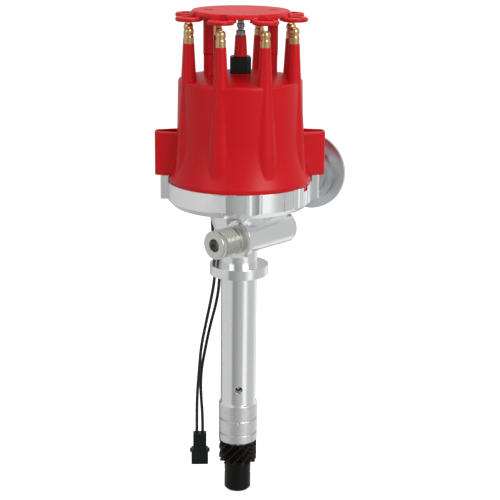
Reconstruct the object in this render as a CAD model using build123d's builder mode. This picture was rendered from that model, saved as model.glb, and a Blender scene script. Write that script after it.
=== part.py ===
from build123d import *
from math import atan2, cos, degrees, hypot, radians, sin, tan
import os

os.makedirs("parts", exist_ok=True)

# A V8 ignition distributor with a mechanical tachometer drive, a vacuum advance and a
# magnetic pickup. +Z is the shaft axis, the origin is the centre of the lower face of the
# hold-down flange, and the two cap screws lie on +X and -X. Lengths are millimetres.

# ---- fits ----
seat_gap = 0.03  # between two pieces that are pressed, screwed or glued together
run_gap = 0.05  # radial clearance of a shaft in its bearing
end_play = 0.25  # axial clearance of a turning stack
free_gap = 0.6  # round pieces that pass each other without touching

# ---- shaft and drive gear ----
shaft_radius = 6.35
shaft_bottom = -191.0
journal_radius = 5.5  # of the turned-down top end, which carries the advance sleeve
pump_slot_width = 5.0
pump_slot_depth = 9.0

gear_teeth = 13
gear_tip_radius = 16.0
gear_tooth_depth = 3.0
gear_width = 17.4
gear_tooth_share = 0.48
gear_helix = 42.0  # degrees from the axis
gear_hub_radius = 11.2
gear_hub_length = 26.4
hub_chamfer = 1.6
washer_thickness = 1.0
washer_radius = 13.0
roll_pin_radius = 2.4
roll_pin_height = 15.0  # above the bottom of the hub

# ---- housing: shank, flange, neck and bowl are one turned billet ----
band_bottom = -147.6
band_top = -113.5
band_radius = 16.3
band_chamfer = 1.2
band_groove_tops = (-125.7, -138.6)
band_groove_width = 1.8
band_groove_depth = 1.1
shank_radius = 14.9
flange_radius = 24.2
flange_thickness = 8.3
flange_fillet = 4.0
neck_radius = 15.2
neck_straight_top = 22.0
throat_radius = 24.5
throat_height = 49.0
throat_blend = 6.0
bowl_radius = 58.5
bowl_bottom = 59.5
bowl_floor_thickness = 6.5
bowl_floor = bowl_bottom + bowl_floor_thickness
bowl_depth = 13.0
bowl_rim = bowl_floor + bowl_depth
bowl_wall = 4.5
bowl_bevel = 4.5
hub_radius = 18.0
hub_shoulder_radius = 21.0
plate_pad_height = 3.0
plate_bottom = bowl_floor + plate_pad_height
hub_rise = 4.6  # of the hub above the plate
hub_top = plate_bottom + hub_rise
oil_hole_radius = 3.0
oil_hole_height = -98.3
dimple_height = -127.7
dimple_radius = 1.0

# vertical flutes machined in the bowl wall: (angle from +X, width), all in degrees
flutes = ((-82, 10), (-42, 9), (152, 10), (178, 9))
flute_depth = 1.6
score_angles = (-89.5, -75.5, -55.5, -24)  # narrow lines between the flutes
score_width = 0.8
score_depth = 0.7
wall_notch_angle = -101.5  # small pocket at the foot of the bowl wall
wall_notch_width = 8.5
wall_notch_height = 3.6

# ---- lower and upper bearings ----
bushing_radius = 9.0
bushing_length = 32.0
bore_radius = 8.2  # free bore between the bearings
bearing_radius = 14.29
bearing_width = 7.94
race_thickness = 2.6

# ---- tachometer drive ----
tach_direction = -135.0  # degrees from +X, the way the cable leaves
tach_height = 35.0
tach_boss_radius = 13.0
tach_boss_back = -40.0  # distances along the tach axis from its nearest point to the shaft
tach_boss_front = 22.0
tach_collar_radius = 16.2
tach_collar_length = 7.0
tach_collar_chamfer = 1.5
tach_bore_radius = 8.2
tach_back_wall = 5.0
tach_teeth = 10
tach_drive_pitch = 8.4  # pitch radii of the two crossed gears, one turn to one
tach_driven_pitch = 6.6
tach_tooth_up = 0.65
tach_tooth_down = 0.95
tach_tooth_share = 0.32  # of the pitch, at the pitch circle
tach_drive_width = 11.0
tach_driven_width = 13.0
tach_journal_radius = 4.4
gear_cavity_radius = 10.6
fitting_thread_radius = 10.6
fitting_tail = 10.0
fitting_neck_radius = 10.9
fitting_face = 46.0
fitting_rim_radius = 11.6
fitting_rim_length = 9.0
fitting_groove_radius = 9.6
fitting_groove_width = 2.0
fitting_shoulder_length = 3.0
cable_socket_radius = 5.2
cable_socket_depth = 9.0
drive_square = 3.2
drive_square_depth = 12.0

# ---- cap ----
cap_deck_radius = 49.6
cap_drum_growth = 0.8  # of the drum's radius, down to the flare
cap_drum_radius = cap_deck_radius + cap_drum_growth
cap_height = 82.5
cap_deck_edge = bowl_rim + cap_height
cap_crown = 4.5
cap_deck_centre = cap_deck_edge + cap_crown
cap_edge_rounding = 2.4
cap_skirt_inset = 0.7
cap_skirt_radius = bowl_radius - cap_skirt_inset
cap_skirt_height = 3.0
cap_skirt_top = bowl_rim + cap_skirt_height
cap_wall = 2.9
cap_ring_depth = 27.5
cap_shelf = cap_deck_edge - cap_ring_depth  # underside of the thick ring that carries the terminals
cap_flare_drop = 10.0
cap_flare_top = cap_shelf - cap_flare_drop
tower_inset = 5.1
tower_circle = cap_deck_radius - tower_inset
cap_shelf_inset = 6.5
cap_shelf_radius = tower_circle - cap_shelf_inset
cap_deck_thickness = 7.5
cap_ceiling = cap_deck_edge - cap_deck_thickness
cap_lip_depth = 2.6  # the lip that centres the cap inside the bowl
cap_lip_thickness = 2.6
cap_key_angle = -28.5  # tab of the skirt that drops into a notch of the bowl's rim
cap_key_width = 6.5
cap_key_depth = 3.0
cap_key_thickness = 2.4
tower_count = 8
tower_start = 22.5
tower_height = 29.4
tower_top = cap_deck_edge + tower_height
tower_top_radius = 4.3
tower_draft = 0.055  # growth of radius per millimetre downwards
rib_draft = 0.072  # the same, of the ribs that run on down the drum
rib_foot_height = 7.0
rib_foot = bowl_rim + rib_foot_height
coil_tower_rise = 4.4
coil_tower_top = tower_top + coil_tower_rise
coil_tower_radius = 4.4
coil_tower_draft = 0.06
contact_boss_radius = 7.5
contact_boss_drop = 6.0
contact_boss_bottom = cap_shelf - contact_boss_drop
post_circle = 25.4
post_radius = 3.9
post_height = 18.9
post_top = cap_deck_edge + post_height
post_screw_radius = 1.9
post_screw_depth = 14.0
hold_down_offset = 2.8  # of the cap screws, outside the bowl
hold_down_reach = bowl_radius + hold_down_offset
wing_end_length = 7.2
wing_reach = hold_down_reach + wing_end_length
wing_end_width = 11.0
wing_root_width = 22.5
wing_rise = 5.0
wing_bottom = bowl_rim + wing_rise
wing_height = 35.3
wing_top = wing_bottom + wing_height
wing_wall = 2.2
wing_floor = 3.6
wing_corner = 3.5
wing_edge_rounding = 1.0
hold_down_radius = 1.9
hold_down_head_radius = 4.0
hold_down_head_height = 3.2
lug_end_length = 2.9
lug_reach = hold_down_reach + lug_end_length
lug_width = 14.0
lug_rise = 5.1
lug_bottom = bowl_bottom + lug_rise

# ---- terminals ----
stem_radius = 2.0
stem_drop = 12.5
stem_bottom = cap_shelf - stem_drop
foot_inset = 6.3
foot_reach = tower_circle - foot_inset  # inner end of the electrode, from the shaft axis
foot_height = 4.0
foot_width = 3.4
terminal_radius = 4.0
terminal_waist = 3.5
terminal_tip_radius = 2.6
terminal_height = 12.4
terminal_tip = tower_top + terminal_height
terminal_band = 4.8  # straight foot of the terminal
terminal_waist_height = 6.0
terminal_head_start = 7.2  # lower end of the rounded head that the lead boot snaps over
coil_bands = ((3.7, 4.2), (3.1, 3.0), (2.9, 2.9))  # radius and height, from the tower up
coil_neck_radius = 2.4
coil_neck_height = 2.4
coil_terminal_height = coil_neck_height * (len(coil_bands) - 1) + sum(band[1] for band in coil_bands)
coil_terminal_tip = coil_tower_top + seat_gap + coil_terminal_height
coil_stem_rise = 14.0
coil_stem_bottom = cap_shelf + coil_stem_rise
button_radius = 3.0
button_length = 13.85
button_rounding = 1.2
button_spring_radius = 2.6
button_spring_wire = 0.7
button_spring_turns = 5

# ---- wire retainer ----
retainer_gap = 4.8  # over the plug terminals
retainer_bottom = terminal_tip + retainer_gap
lobe_thickness = 3.3
lobe_bevel = 0.9
lobe_radius = 10.5
lobe_hole_radius = 6.1
disc_gap = 1.1  # over the coil terminal
disc_bottom = coil_terminal_tip + disc_gap
disc_thickness = 3.8
disc_inset = 4.5
disc_radius = tower_circle - disc_inset
disc_slope = 1.6
plateau_radius = disc_radius - disc_slope
disc_edge = 1.4  # height of the upright part of the edge
web_spread = 1.5  # the webs between disc and lobes are wider than the lobes by this
leg_radius = 4.2
retainer_head_radius = 3.2
retainer_head_height = 2.4
retainer_screw_grip = 12.5  # length that bites in the posts
vent_width = 16.6
vent_corner = 4.2
vent_height = 13.0
vent_edge = 1.6

# ---- rotor and centrifugal advance ----
sleeve_radius = 9.0
shaft_step_rise = 0.9
shaft_step = hub_top + shaft_step_rise
sleeve_skirt = 13.5
base_plate_bottom = shaft_step + sleeve_skirt
base_plate_thickness = 2.0
journal_rise = 7.0
journal_top = base_plate_bottom + journal_rise
pivot_circle = 24.0
pivot_radius = 2.2
pivot_rise = 4.6
pivot_top = journal_top + pivot_rise
rotor_leg_angle = 140.0
rotor_leg_circle = 27.0
rotor_leg_radius = 4.6
rotor_gap = 1.0  # over the pivots of the weights
rotor_bottom = pivot_top + rotor_gap
rotor_disc_thickness = 3.0
blade_gap = 0.8  # spark gap between blade and electrode
blade_reach = foot_reach - blade_gap
blade_overhang = 1.4
rotor_disc_radius = blade_reach - blade_overhang
rotor_neck_radius = 13.0
blade_rise = 0.5  # of the rotor's top over the lower end of the electrodes
rotor_top = stem_bottom + blade_rise
blade_thickness = 2.0
button_gap = 0.15
button_bottom = rotor_top + blade_thickness + button_gap
button_top = button_bottom + button_length
blade_width = 9.0
weight_gap = 0.3
weight_bottom = base_plate_bottom + base_plate_thickness + weight_gap
weight_thickness = 4.4
weight_eye_radius = 6.2
weight_inner = 17.0
weight_outer = 33.0
weight_span = 100.0
cam_plate_thickness = 1.4
cam_angle = 50.0
cam_reach = 21.0
cam_width = 14.0
stop_circle = 13.0
stop_bushing_radius = 2.4
stop_travel = 10.0  # degrees
reluctor_rise = 2.0
reluctor_bottom = shaft_step + reluctor_rise
reluctor_thickness = 6.0
reluctor_core_radius = 12.5
reluctor_tip_radius = 18.0
reluctor_tip_width = 2.6

# ---- pickup plate and vacuum advance ----
plate_thickness = 2.0
plate_radius = 32.0
ring_thickness = 1.0
ring_groove_depth = 0.8
vacuum_angle = 61.5  # degrees from +X, the way the rod is pulled
vacuum_swing = 10.0  # degrees that the plate turns
pin_circle = 27.1
pin_radius = 2.0
rod_rise = 5.0
rod_height = plate_bottom + rod_rise
rod_thickness = 2.0
rod_width = 6.0
rod_end_radius = 4.6
canister_gap = 21.5
canister_distance = bowl_radius + canister_gap  # from the rod's tangent point to the canister's seam
canister_rim_radius = 32.6
canister_rim_thickness = 1.5
canister_sheet = 1.2
front_shell_radius = 25.2
front_shell_depth = 9.0
front_step_radius = 19.5
front_step_depth = 4.0
rear_shell_radius = 25.2
rear_shell_depth = 13.0
nipple_radius = 3.1
nipple_length = 16.0
nipple_bore = 1.6
nipple_blend = 0.6  # chamfer at the tip and fillet at the root
diaphragm_radius = 23.3
diaphragm_rest = -5.0  # from the seam, along the pull
diaphragm_thickness = 1.2
bracket_width = 15.0
bracket_thickness = 2.0
bracket_inset = 23.0
bracket_reach = bowl_radius - bracket_inset  # inner end, along the rod from its tangent point
bracket_screw_spacing = 9.0
vacuum_spring_radius = 9.0
vacuum_spring_wire = 1.4
vacuum_spring_turns = 4

# ---- pickup lead ----
wire_radius = 1.3
grommet_position = (-20.0, 31.4)
grommet_radius = 5.2
grommet_flange_radius = 6.4
grommet_flange_thickness = 1.8
grommet_drop = 6.0
connector_position = (-32.2, 17.2)
connector_top = -149.5
connector_body_size = (11.5, 8.0, 14.5)
connector_skirt_size = (14.5, 10.0, 13.0)
connector_wall = 1.6
connector_socket_depth = 10.0
connector_pin_radius = 0.8
connector_pin_length = 5.0
connector_pin_spacing = 5.0


def turned(angle, distance):
    """Point at a distance from the axis, at an angle in degrees from +X."""
    return distance * cos(radians(angle)), distance * sin(radians(angle))


def upright(x, y, angle):
    """Plane that stands on the point, with local x along the angle and local y along +Z."""
    return Plane(
        origin=(x, y, 0),
        x_dir=(cos(radians(angle)), sin(radians(angle)), 0),
        z_dir=(sin(radians(angle)), -cos(radians(angle)), 0),
    )


def gear_points(teeth, root, tip, share, tooth_angle):
    """Corner points of a straight-sided gear outline with one tooth at tooth_angle."""
    half_pitch_tooth = 180 * share / teeth
    half_root = half_pitch_tooth * 1.55
    half_tip = half_pitch_tooth * 0.55
    points = []
    for tooth in range(teeth):
        centre = tooth_angle + tooth * 360 / teeth
        points.append(turned(centre - half_root, root))
        points.append(turned(centre - half_tip, tip))
        points.append(turned(centre + half_tip, tip))
        points.append(turned(centre + half_root, root))
    return points


# ======================================================================= housing
tach_side = tach_direction + 90  # the tach axis passes the shaft on this side
tach_offset = tach_drive_pitch + tach_driven_pitch
tach_along = (cos(radians(tach_direction)), sin(radians(tach_direction)), 0)
tach_plane = Plane(
    origin=(*turned(tach_side, tach_offset), tach_height),
    x_dir=(cos(radians(tach_side)), sin(radians(tach_side)), 0),
    z_dir=tach_along,
)
rod_line = pin_circle * (1 + cos(radians(vacuum_swing / 2))) / 2
rod_plane = Plane(
    origin=(*turned(vacuum_angle - 90, rod_line), rod_height),
    x_dir=(cos(radians(vacuum_angle)), sin(radians(vacuum_angle)), 0),
    z_dir=(0, 0, 1),
)
bowl_cavity_radius = bowl_radius - bowl_wall
bearing_bottom = bowl_floor - 2.0
ring_bottom = plate_bottom + plate_thickness + run_gap
pad_height = plate_bottom - bowl_floor
pad_start = bracket_reach - 0.5
pad_end = pad_start + 10
notch_start = 36.0
notch_end = 64.0
notch_width = bracket_width + 2
key_notch_depth = bowl_radius - cap_skirt_radius + cap_key_thickness + free_gap / 2

with BuildPart() as housing:
    with BuildSketch(Plane.XZ):
        with BuildLine():
            Polyline(
                (0, band_bottom),
                (band_radius - band_chamfer, band_bottom),
                (band_radius, band_bottom + band_chamfer),
                (band_radius, band_top),
                (shank_radius, band_top + band_radius - shank_radius),
                (shank_radius, 0),
                (flange_radius, 0),
                (flange_radius, flange_thickness),
                (neck_radius, flange_thickness),
                (neck_radius, neck_straight_top),
                (throat_radius, throat_height),
                (throat_radius + throat_blend, bowl_bottom),
                (bowl_radius - bowl_bevel, bowl_bottom),
                (bowl_radius, bowl_bottom + bowl_bevel),
                (bowl_radius, bowl_rim),
                (0, bowl_rim),
                close=True,
            )
        make_face()
    revolve(axis=Axis.Z)
    flange_foot = housing.edges().filter_by(
        lambda e: e.geom_type == GeomType.CIRCLE
        and abs(e.center().Z) < 0.01
        and abs(e.radius - shank_radius) < 0.01
    )
    fillet(flange_foot, flange_fillet)
    # boss of the tachometer drive and its thicker collar
    with BuildSketch(tach_plane.offset(tach_boss_back)):
        Circle(tach_boss_radius)
    extrude(amount=tach_boss_front - tach_boss_back)
    with BuildSketch(tach_plane.offset(tach_boss_front - tach_collar_length)):
        Circle(tach_collar_radius)
    extrude(amount=tach_collar_length)
    collar_edge = housing.edges().filter_by(
        lambda e: e.geom_type == GeomType.CIRCLE
        and abs(e.radius - tach_collar_radius) < 0.01
    )
    chamfer(collar_edge, tach_collar_chamfer)
    # lugs that take the hold-down screws of the cap
    for side in (-1, 1):
        lug_inner = bowl_radius - 2
        with BuildSketch(Plane.XY.offset(lug_bottom)):
            with Locations((side * (lug_inner + lug_reach) / 2, 0)):
                RectangleRounded(lug_reach - lug_inner, lug_width, 1.5)
        extrude(amount=wing_bottom - seat_gap - lug_bottom)
    with BuildSketch(Plane.XY.offset(bowl_rim)):
        Circle(cap_skirt_radius + free_gap)
    extrude(amount=wing_bottom - bowl_rim, mode=Mode.SUBTRACT)
    # inside of the bowl, round the hub that carries the pickup plate
    with BuildSketch(Plane.XY.offset(bowl_floor)):
        Circle(bowl_cavity_radius)
        Circle(hub_shoulder_radius, mode=Mode.SUBTRACT)
    extrude(amount=bowl_rim - bowl_floor, mode=Mode.SUBTRACT)
    with BuildSketch(Plane.XY.offset(plate_bottom - run_gap)):
        Circle(hub_shoulder_radius + 1)
        Circle(hub_radius, mode=Mode.SUBTRACT)
    extrude(amount=bowl_rim - plate_bottom + run_gap, mode=Mode.SUBTRACT)
    with BuildSketch(Plane.XY.offset(hub_top)):
        Circle(hub_radius + 1)
    extrude(amount=bowl_rim - hub_top, mode=Mode.SUBTRACT)
    with BuildSketch(Plane.XY.offset(ring_bottom)):
        Circle(hub_radius + 1)
        Circle(hub_radius - ring_groove_depth, mode=Mode.SUBTRACT)
    extrude(amount=ring_thickness, mode=Mode.SUBTRACT)
    # pad and wall notch for the bracket of the vacuum canister
    with BuildSketch(Plane(rod_plane.origin, rod_plane.x_dir).offset(bowl_floor - rod_height - 0.5)):
        with Locations(((pad_start + pad_end) / 2, 0)):
            Rectangle(pad_end - pad_start, bracket_width)
    extrude(amount=pad_height + 0.5)
    with BuildSketch(Plane(rod_plane.origin, rod_plane.x_dir).offset(plate_bottom - rod_height)):
        with Locations(((notch_start + notch_end) / 2, 0)):
            Rectangle(notch_end - notch_start, notch_width)
    extrude(amount=bowl_rim - plate_bottom + 1, mode=Mode.SUBTRACT)
    bracket_holes = [
        (pad_start + 5, offset * bracket_screw_spacing / 2) for offset in (-1, 1)
    ]
    with BuildSketch(Plane(rod_plane.origin, rod_plane.x_dir).offset(plate_bottom - rod_height)):
        with Locations(*bracket_holes):
            Circle(1.6)
    extrude(amount=-7, mode=Mode.SUBTRACT)
    # stepped bore: lower bushing, free bore, gear cavity, ball bearing
    with BuildSketch(Plane.XZ):
        with BuildLine():
            Polyline(
                (0, band_bottom - 1),
                (bushing_radius, band_bottom - 1),
                (bushing_radius, band_bottom + bushing_length),
                (bore_radius, band_bottom + bushing_length),
                (bore_radius, neck_straight_top - 2),
                (gear_cavity_radius, neck_straight_top - 2),
                (gear_cavity_radius, bearing_bottom),
                (bearing_radius, bearing_bottom),
                (bearing_radius, hub_top + 1),
                (0, hub_top + 1),
                close=True,
            )
        make_face()
    revolve(axis=Axis.Z, mode=Mode.SUBTRACT)
    # blind bore of the tachometer drive, wider where the fitting screws in
    with BuildSketch(tach_plane.offset(tach_boss_back + tach_back_wall)):
        Circle(tach_bore_radius)
    extrude(amount=tach_boss_front - tach_boss_back, mode=Mode.SUBTRACT)
    with BuildSketch(tach_plane.offset(fitting_tail)):
        Circle(fitting_thread_radius)
    extrude(amount=tach_boss_front, mode=Mode.SUBTRACT)
    # turned grooves of the lower bands, oil hole, dimple
    for groove_top in band_groove_tops:
        with BuildSketch(Plane.XY.offset(groove_top)):
            Circle(band_radius + 1)
            Circle(band_radius - band_groove_depth, mode=Mode.SUBTRACT)
        extrude(amount=-band_groove_width, mode=Mode.SUBTRACT)
    with BuildSketch(Plane.XZ):
        with Locations((0, oil_hole_height)):
            Circle(oil_hole_radius)
    extrude(amount=shank_radius + 1, mode=Mode.SUBTRACT)
    with BuildSketch(Plane.XZ.offset(band_radius - 1.2)):
        with Locations((0, dimple_height)):
            Circle(dimple_radius)
    extrude(amount=2, mode=Mode.SUBTRACT)
    # flutes, scored lines and the small pocket in the bowl wall
    for angle, width in flutes:
        half_width = bowl_radius * sin(radians(width / 2))
        cutter = (half_width**2 + flute_depth**2) / (2 * flute_depth)
        with BuildSketch(Plane.XY.offset(bowl_bottom)):
            with Locations(turned(angle, bowl_radius + cutter - flute_depth)):
                Circle(cutter)
        extrude(amount=bowl_rim - bowl_bottom, mode=Mode.SUBTRACT)
    for angle in score_angles:
        with BuildSketch(Plane.XY.offset(bowl_bottom)):
            with Locations(Location((*turned(angle, bowl_radius), 0), (0, 0, angle))):
                Rectangle(2 * score_depth, score_width)
        extrude(amount=bowl_rim - bowl_bottom, mode=Mode.SUBTRACT)
    with BuildSketch(Plane.XY.offset(bowl_bottom + bowl_bevel - 1)):
        with Locations(Location((*turned(wall_notch_angle, bowl_radius), 0), (0, 0, wall_notch_angle))):
            Rectangle(3, wall_notch_width)
    extrude(amount=wall_notch_height, mode=Mode.SUBTRACT)
    with BuildSketch(Plane.XY.offset(bowl_rim)):
        with Locations(Location((*turned(cap_key_angle, bowl_radius), 0), (0, 0, cap_key_angle))):
            Rectangle(2 * key_notch_depth, cap_key_width + free_gap)
    extrude(amount=-cap_key_depth - free_gap / 2, mode=Mode.SUBTRACT)
    # tapped holes for the cap screws, and the hole of the lead grommet
    with BuildSketch(Plane.XY.offset(wing_bottom)):
        with Locations((hold_down_reach, 0), (-hold_down_reach, 0)):
            Circle(hold_down_radius + seat_gap)
    extrude(amount=-13, mode=Mode.SUBTRACT)
    with BuildSketch(Plane.XY.offset(bowl_floor)):
        with Locations(grommet_position):
            Circle(grommet_radius)
    extrude(amount=bowl_bottom - bowl_floor - 12, mode=Mode.SUBTRACT)
housing.part.label = "housing"
export_step(housing.part, "parts/housing.step")

# ======================================================================= bearings
with BuildPart() as lower_bushing:
    with BuildSketch(Plane.XY.offset(band_bottom)):
        Circle(bushing_radius - seat_gap)
        Circle(shaft_radius + run_gap, mode=Mode.SUBTRACT)
    extrude(amount=bushing_length - seat_gap)
lower_bushing.part.label = "lower_bushing"
export_step(lower_bushing.part, "parts/lower_bushing.step")

with BuildPart() as upper_bearing_outer:
    with BuildSketch(Plane.XY.offset(bearing_bottom + seat_gap)):
        Circle(bearing_radius - seat_gap)
        Circle(bearing_radius - race_thickness, mode=Mode.SUBTRACT)
    extrude(amount=bearing_width)
    # seals that close the ball track on both sides
    for seal_bottom in (bearing_bottom + 0.6, bearing_bottom + bearing_width - 1.4):
        with BuildSketch(Plane.XY.offset(seal_bottom)):
            Circle(bearing_radius - race_thickness)
            Circle(shaft_radius + race_thickness + 0.1, mode=Mode.SUBTRACT)
        extrude(amount=0.8)
upper_bearing_outer.part.label = "upper_bearing_outer"
export_step(upper_bearing_outer.part, "parts/upper_bearing_outer.step")

with BuildPart() as upper_bearing_inner:
    with BuildSketch(Plane.XY.offset(bearing_bottom + seat_gap)):
        Circle(shaft_radius + race_thickness)
        Circle(shaft_radius + seat_gap, mode=Mode.SUBTRACT)
    extrude(amount=bearing_width)
upper_bearing_inner.part.label = "upper_bearing_inner"
export_step(upper_bearing_inner.part, "parts/upper_bearing_inner.step")

# ======================================================================= shaft
with BuildPart() as shaft:
    with BuildSketch(Plane.XZ):
        with BuildLine():
            Polyline(
                (0, shaft_bottom),
                (shaft_radius - 0.8, shaft_bottom),
                (shaft_radius, shaft_bottom + 0.8),
                (shaft_radius, shaft_step),
                (journal_radius, shaft_step),
                (journal_radius, journal_top),
                (0, journal_top),
                close=True,
            )
        make_face()
    revolve(axis=Axis.Z)
    # slot in the lower end that turns the oil pump rod
    with BuildSketch(Plane.XY.offset(shaft_bottom)):
        Rectangle(2 * shaft_radius + 1, pump_slot_width)
    extrude(amount=pump_slot_depth, mode=Mode.SUBTRACT)
    # cross hole of the roll pin and tapped hole of the cam screw
    hub_bottom = band_bottom - end_play - washer_thickness - seat_gap - gear_width - gear_hub_length
    with BuildSketch(Plane.YZ):
        with Locations((0, hub_bottom + roll_pin_height)):
            Circle(roll_pin_radius + seat_gap)
    extrude(amount=shaft_radius + 1, both=True, mode=Mode.SUBTRACT)
    with BuildSketch(Plane.XY.offset(journal_top)):
        Circle(1.8)
    extrude(amount=-9, mode=Mode.SUBTRACT)
shaft.part.label = "shaft"
export_step(shaft.part, "parts/shaft.step")

# ======================================================================= drive gear
gear_top = band_bottom - end_play - washer_thickness - seat_gap
gear_bottom = gear_top - gear_width
gear_pitch_radius = gear_tip_radius - gear_tooth_depth / 2
gear_steps = 7
gear_twist = degrees(tan(radians(gear_helix)) * gear_width / gear_pitch_radius)

with BuildPart() as drive_gear:
    for step in range(gear_steps + 1):
        section_angle = gear_twist * step / gear_steps
        with BuildSketch(Plane.XY.offset(gear_bottom + gear_width * step / gear_steps)):
            with BuildLine():
                Polyline(
                    *gear_points(
                        gear_teeth,
                        gear_tip_radius - gear_tooth_depth,
                        gear_tip_radius,
                        gear_tooth_share,
                        section_angle,
                    ),
                    close=True,
                )
            make_face()
    loft(ruled=True)
    with BuildSketch(Plane.XY.offset(gear_bottom)):
        Circle(gear_hub_radius)
    extrude(amount=-gear_hub_length)
    chamfer(drive_gear.edges().group_by(Axis.Z)[0], hub_chamfer)
    with BuildSketch(Plane.XY.offset(gear_top)):
        Circle(shaft_radius + seat_gap)
    extrude(amount=-gear_width - gear_hub_length, mode=Mode.SUBTRACT)
    with BuildSketch(Plane.YZ):
        with Locations((0, hub_bottom + roll_pin_height)):
            Circle(roll_pin_radius + seat_gap)
    extrude(amount=gear_hub_radius + 1, both=True, mode=Mode.SUBTRACT)
drive_gear.part.label = "drive_gear"
export_step(drive_gear.part, "parts/drive_gear.step")

with BuildPart() as gear_roll_pin:
    with BuildSketch(Plane.YZ.offset(-gear_hub_radius + 0.3)):
        with Locations((0, hub_bottom + roll_pin_height)):
            Circle(roll_pin_radius)
            Circle(roll_pin_radius - 0.9, mode=Mode.SUBTRACT)
    extrude(amount=2 * gear_hub_radius - 0.6)
gear_roll_pin.part.label = "gear_roll_pin"
export_step(gear_roll_pin.part, "parts/gear_roll_pin.step")

with BuildPart() as thrust_washer:
    with BuildSketch(Plane.XY.offset(gear_top + seat_gap)):
        Circle(washer_radius)
        Circle(shaft_radius + seat_gap, mode=Mode.SUBTRACT)
    extrude(amount=washer_thickness)
thrust_washer.part.label = "thrust_washer"
export_step(thrust_washer.part, "parts/thrust_washer.step")

# ======================================================================= tachometer drive
# Crossed helical gears at a right angle with equal teeth: each one twists by one radian in
# the other one's pitch radius, so that their teeth lie side by side where they meet.
drive_turn = degrees(1 / tach_driven_pitch)  # degrees per millimetre of width
driven_turn = degrees(1 / tach_drive_pitch)
tach_steps = 9

with BuildPart() as tach_drive_gear:
    for step in range(tach_steps + 1):
        height = tach_drive_width * (step / tach_steps - 0.5)
        with BuildSketch(Plane.XY.offset(tach_height + height)):
            with BuildLine():
                Polyline(
                    *gear_points(
                        tach_teeth,
                        tach_drive_pitch - tach_tooth_down,
                        tach_drive_pitch + tach_tooth_up,
                        tach_tooth_share,
                        tach_side + drive_turn * height,
                    ),
                    close=True,
                )
            make_face()
    loft(ruled=True)
    with BuildSketch(Plane.XY.offset(tach_height - tach_drive_width / 2)):
        Circle(shaft_radius + seat_gap)
    extrude(amount=tach_drive_width, mode=Mode.SUBTRACT)
tach_drive_gear.part.label = "tach_drive_gear"
export_step(tach_drive_gear.part, "parts/tach_drive_gear.step")

socket_face = fitting_face - cable_socket_depth
with BuildPart() as tach_driven_gear:
    for step in range(tach_steps + 1):
        height = tach_driven_width * (step / tach_steps - 0.5)
        gap_angle = 180 + 180 / tach_teeth
        with BuildSketch(tach_plane.offset(height)):
            with BuildLine():
                Polyline(
                    *gear_points(
                        tach_teeth,
                        tach_driven_pitch - tach_tooth_down,
                        tach_driven_pitch + tach_tooth_up,
                        tach_tooth_share,
                        gap_angle + driven_turn * height,
                    ),
                    close=True,
                )
            make_face()
    loft(ruled=True)
    with BuildSketch(tach_plane.offset(tach_boss_back + tach_back_wall + end_play)):
        Circle(tach_journal_radius)
    extrude(amount=socket_face - end_play - tach_boss_back - tach_back_wall)
    with BuildSketch(tach_plane.offset(socket_face)):
        Rectangle(drive_square, drive_square)
    extrude(amount=-drive_square_depth, mode=Mode.SUBTRACT)
tach_driven_gear.part.label = "tach_driven_gear"
export_step(tach_driven_gear.part, "parts/tach_driven_gear.step")

with BuildPart() as tach_rear_bushing:
    with BuildSketch(tach_plane.offset(tach_boss_back + tach_back_wall + seat_gap)):
        Circle(tach_bore_radius - seat_gap)
        Circle(tach_journal_radius + run_gap, mode=Mode.SUBTRACT)
    extrude(amount=-tach_boss_back - tach_back_wall - tach_driven_width / 2 - 1)
tach_rear_bushing.part.label = "tach_rear_bushing"
export_step(tach_rear_bushing.part, "parts/tach_rear_bushing.step")

with BuildPart() as tach_fitting:
    rim_start = fitting_face - fitting_rim_length
    groove_start = rim_start - fitting_groove_width
    with BuildSketch(tach_plane.offset(fitting_tail)):
        Circle(fitting_thread_radius - seat_gap)
    extrude(amount=tach_boss_front - fitting_tail)
    with BuildSketch(tach_plane.offset(tach_boss_front + seat_gap)):
        Circle(fitting_rim_radius)
    extrude(amount=fitting_shoulder_length)
    with BuildSketch(tach_plane.offset(tach_boss_front)):
        Circle(fitting_neck_radius)
    extrude(amount=groove_start - tach_boss_front)
    with BuildSketch(tach_plane.offset(groove_start)):
        Circle(fitting_groove_radius)
    extrude(amount=fitting_groove_width)
    with BuildSketch(tach_plane.offset(rim_start)):
        Circle(fitting_rim_radius)
    extrude(amount=fitting_rim_length)
    face_edges = tach_fitting.edges().filter_by(
        lambda e: e.geom_type == GeomType.CIRCLE and abs(e.radius - fitting_rim_radius) < 0.01
    )
    chamfer(face_edges.sort_by(Axis(tach_plane.origin, tach_along))[-1], 1.2)
    with BuildSketch(tach_plane.offset(fitting_tail - 1)):
        Circle(tach_journal_radius + run_gap)
    extrude(amount=fitting_face, mode=Mode.SUBTRACT)
    with BuildSketch(tach_plane.offset(socket_face)):
        Circle(cable_socket_radius)
    extrude(amount=cable_socket_depth + 1, mode=Mode.SUBTRACT)
tach_fitting.part.label = "tach_fitting"
export_step(tach_fitting.part, "parts/tach_fitting.step")

# ======================================================================= cap
cap_bottom = bowl_rim + seat_gap
cap_inner_radius = cap_deck_radius - cap_wall
lip_outer = bowl_cavity_radius - 0.1
lip_inner = lip_outer - cap_lip_thickness

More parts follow.
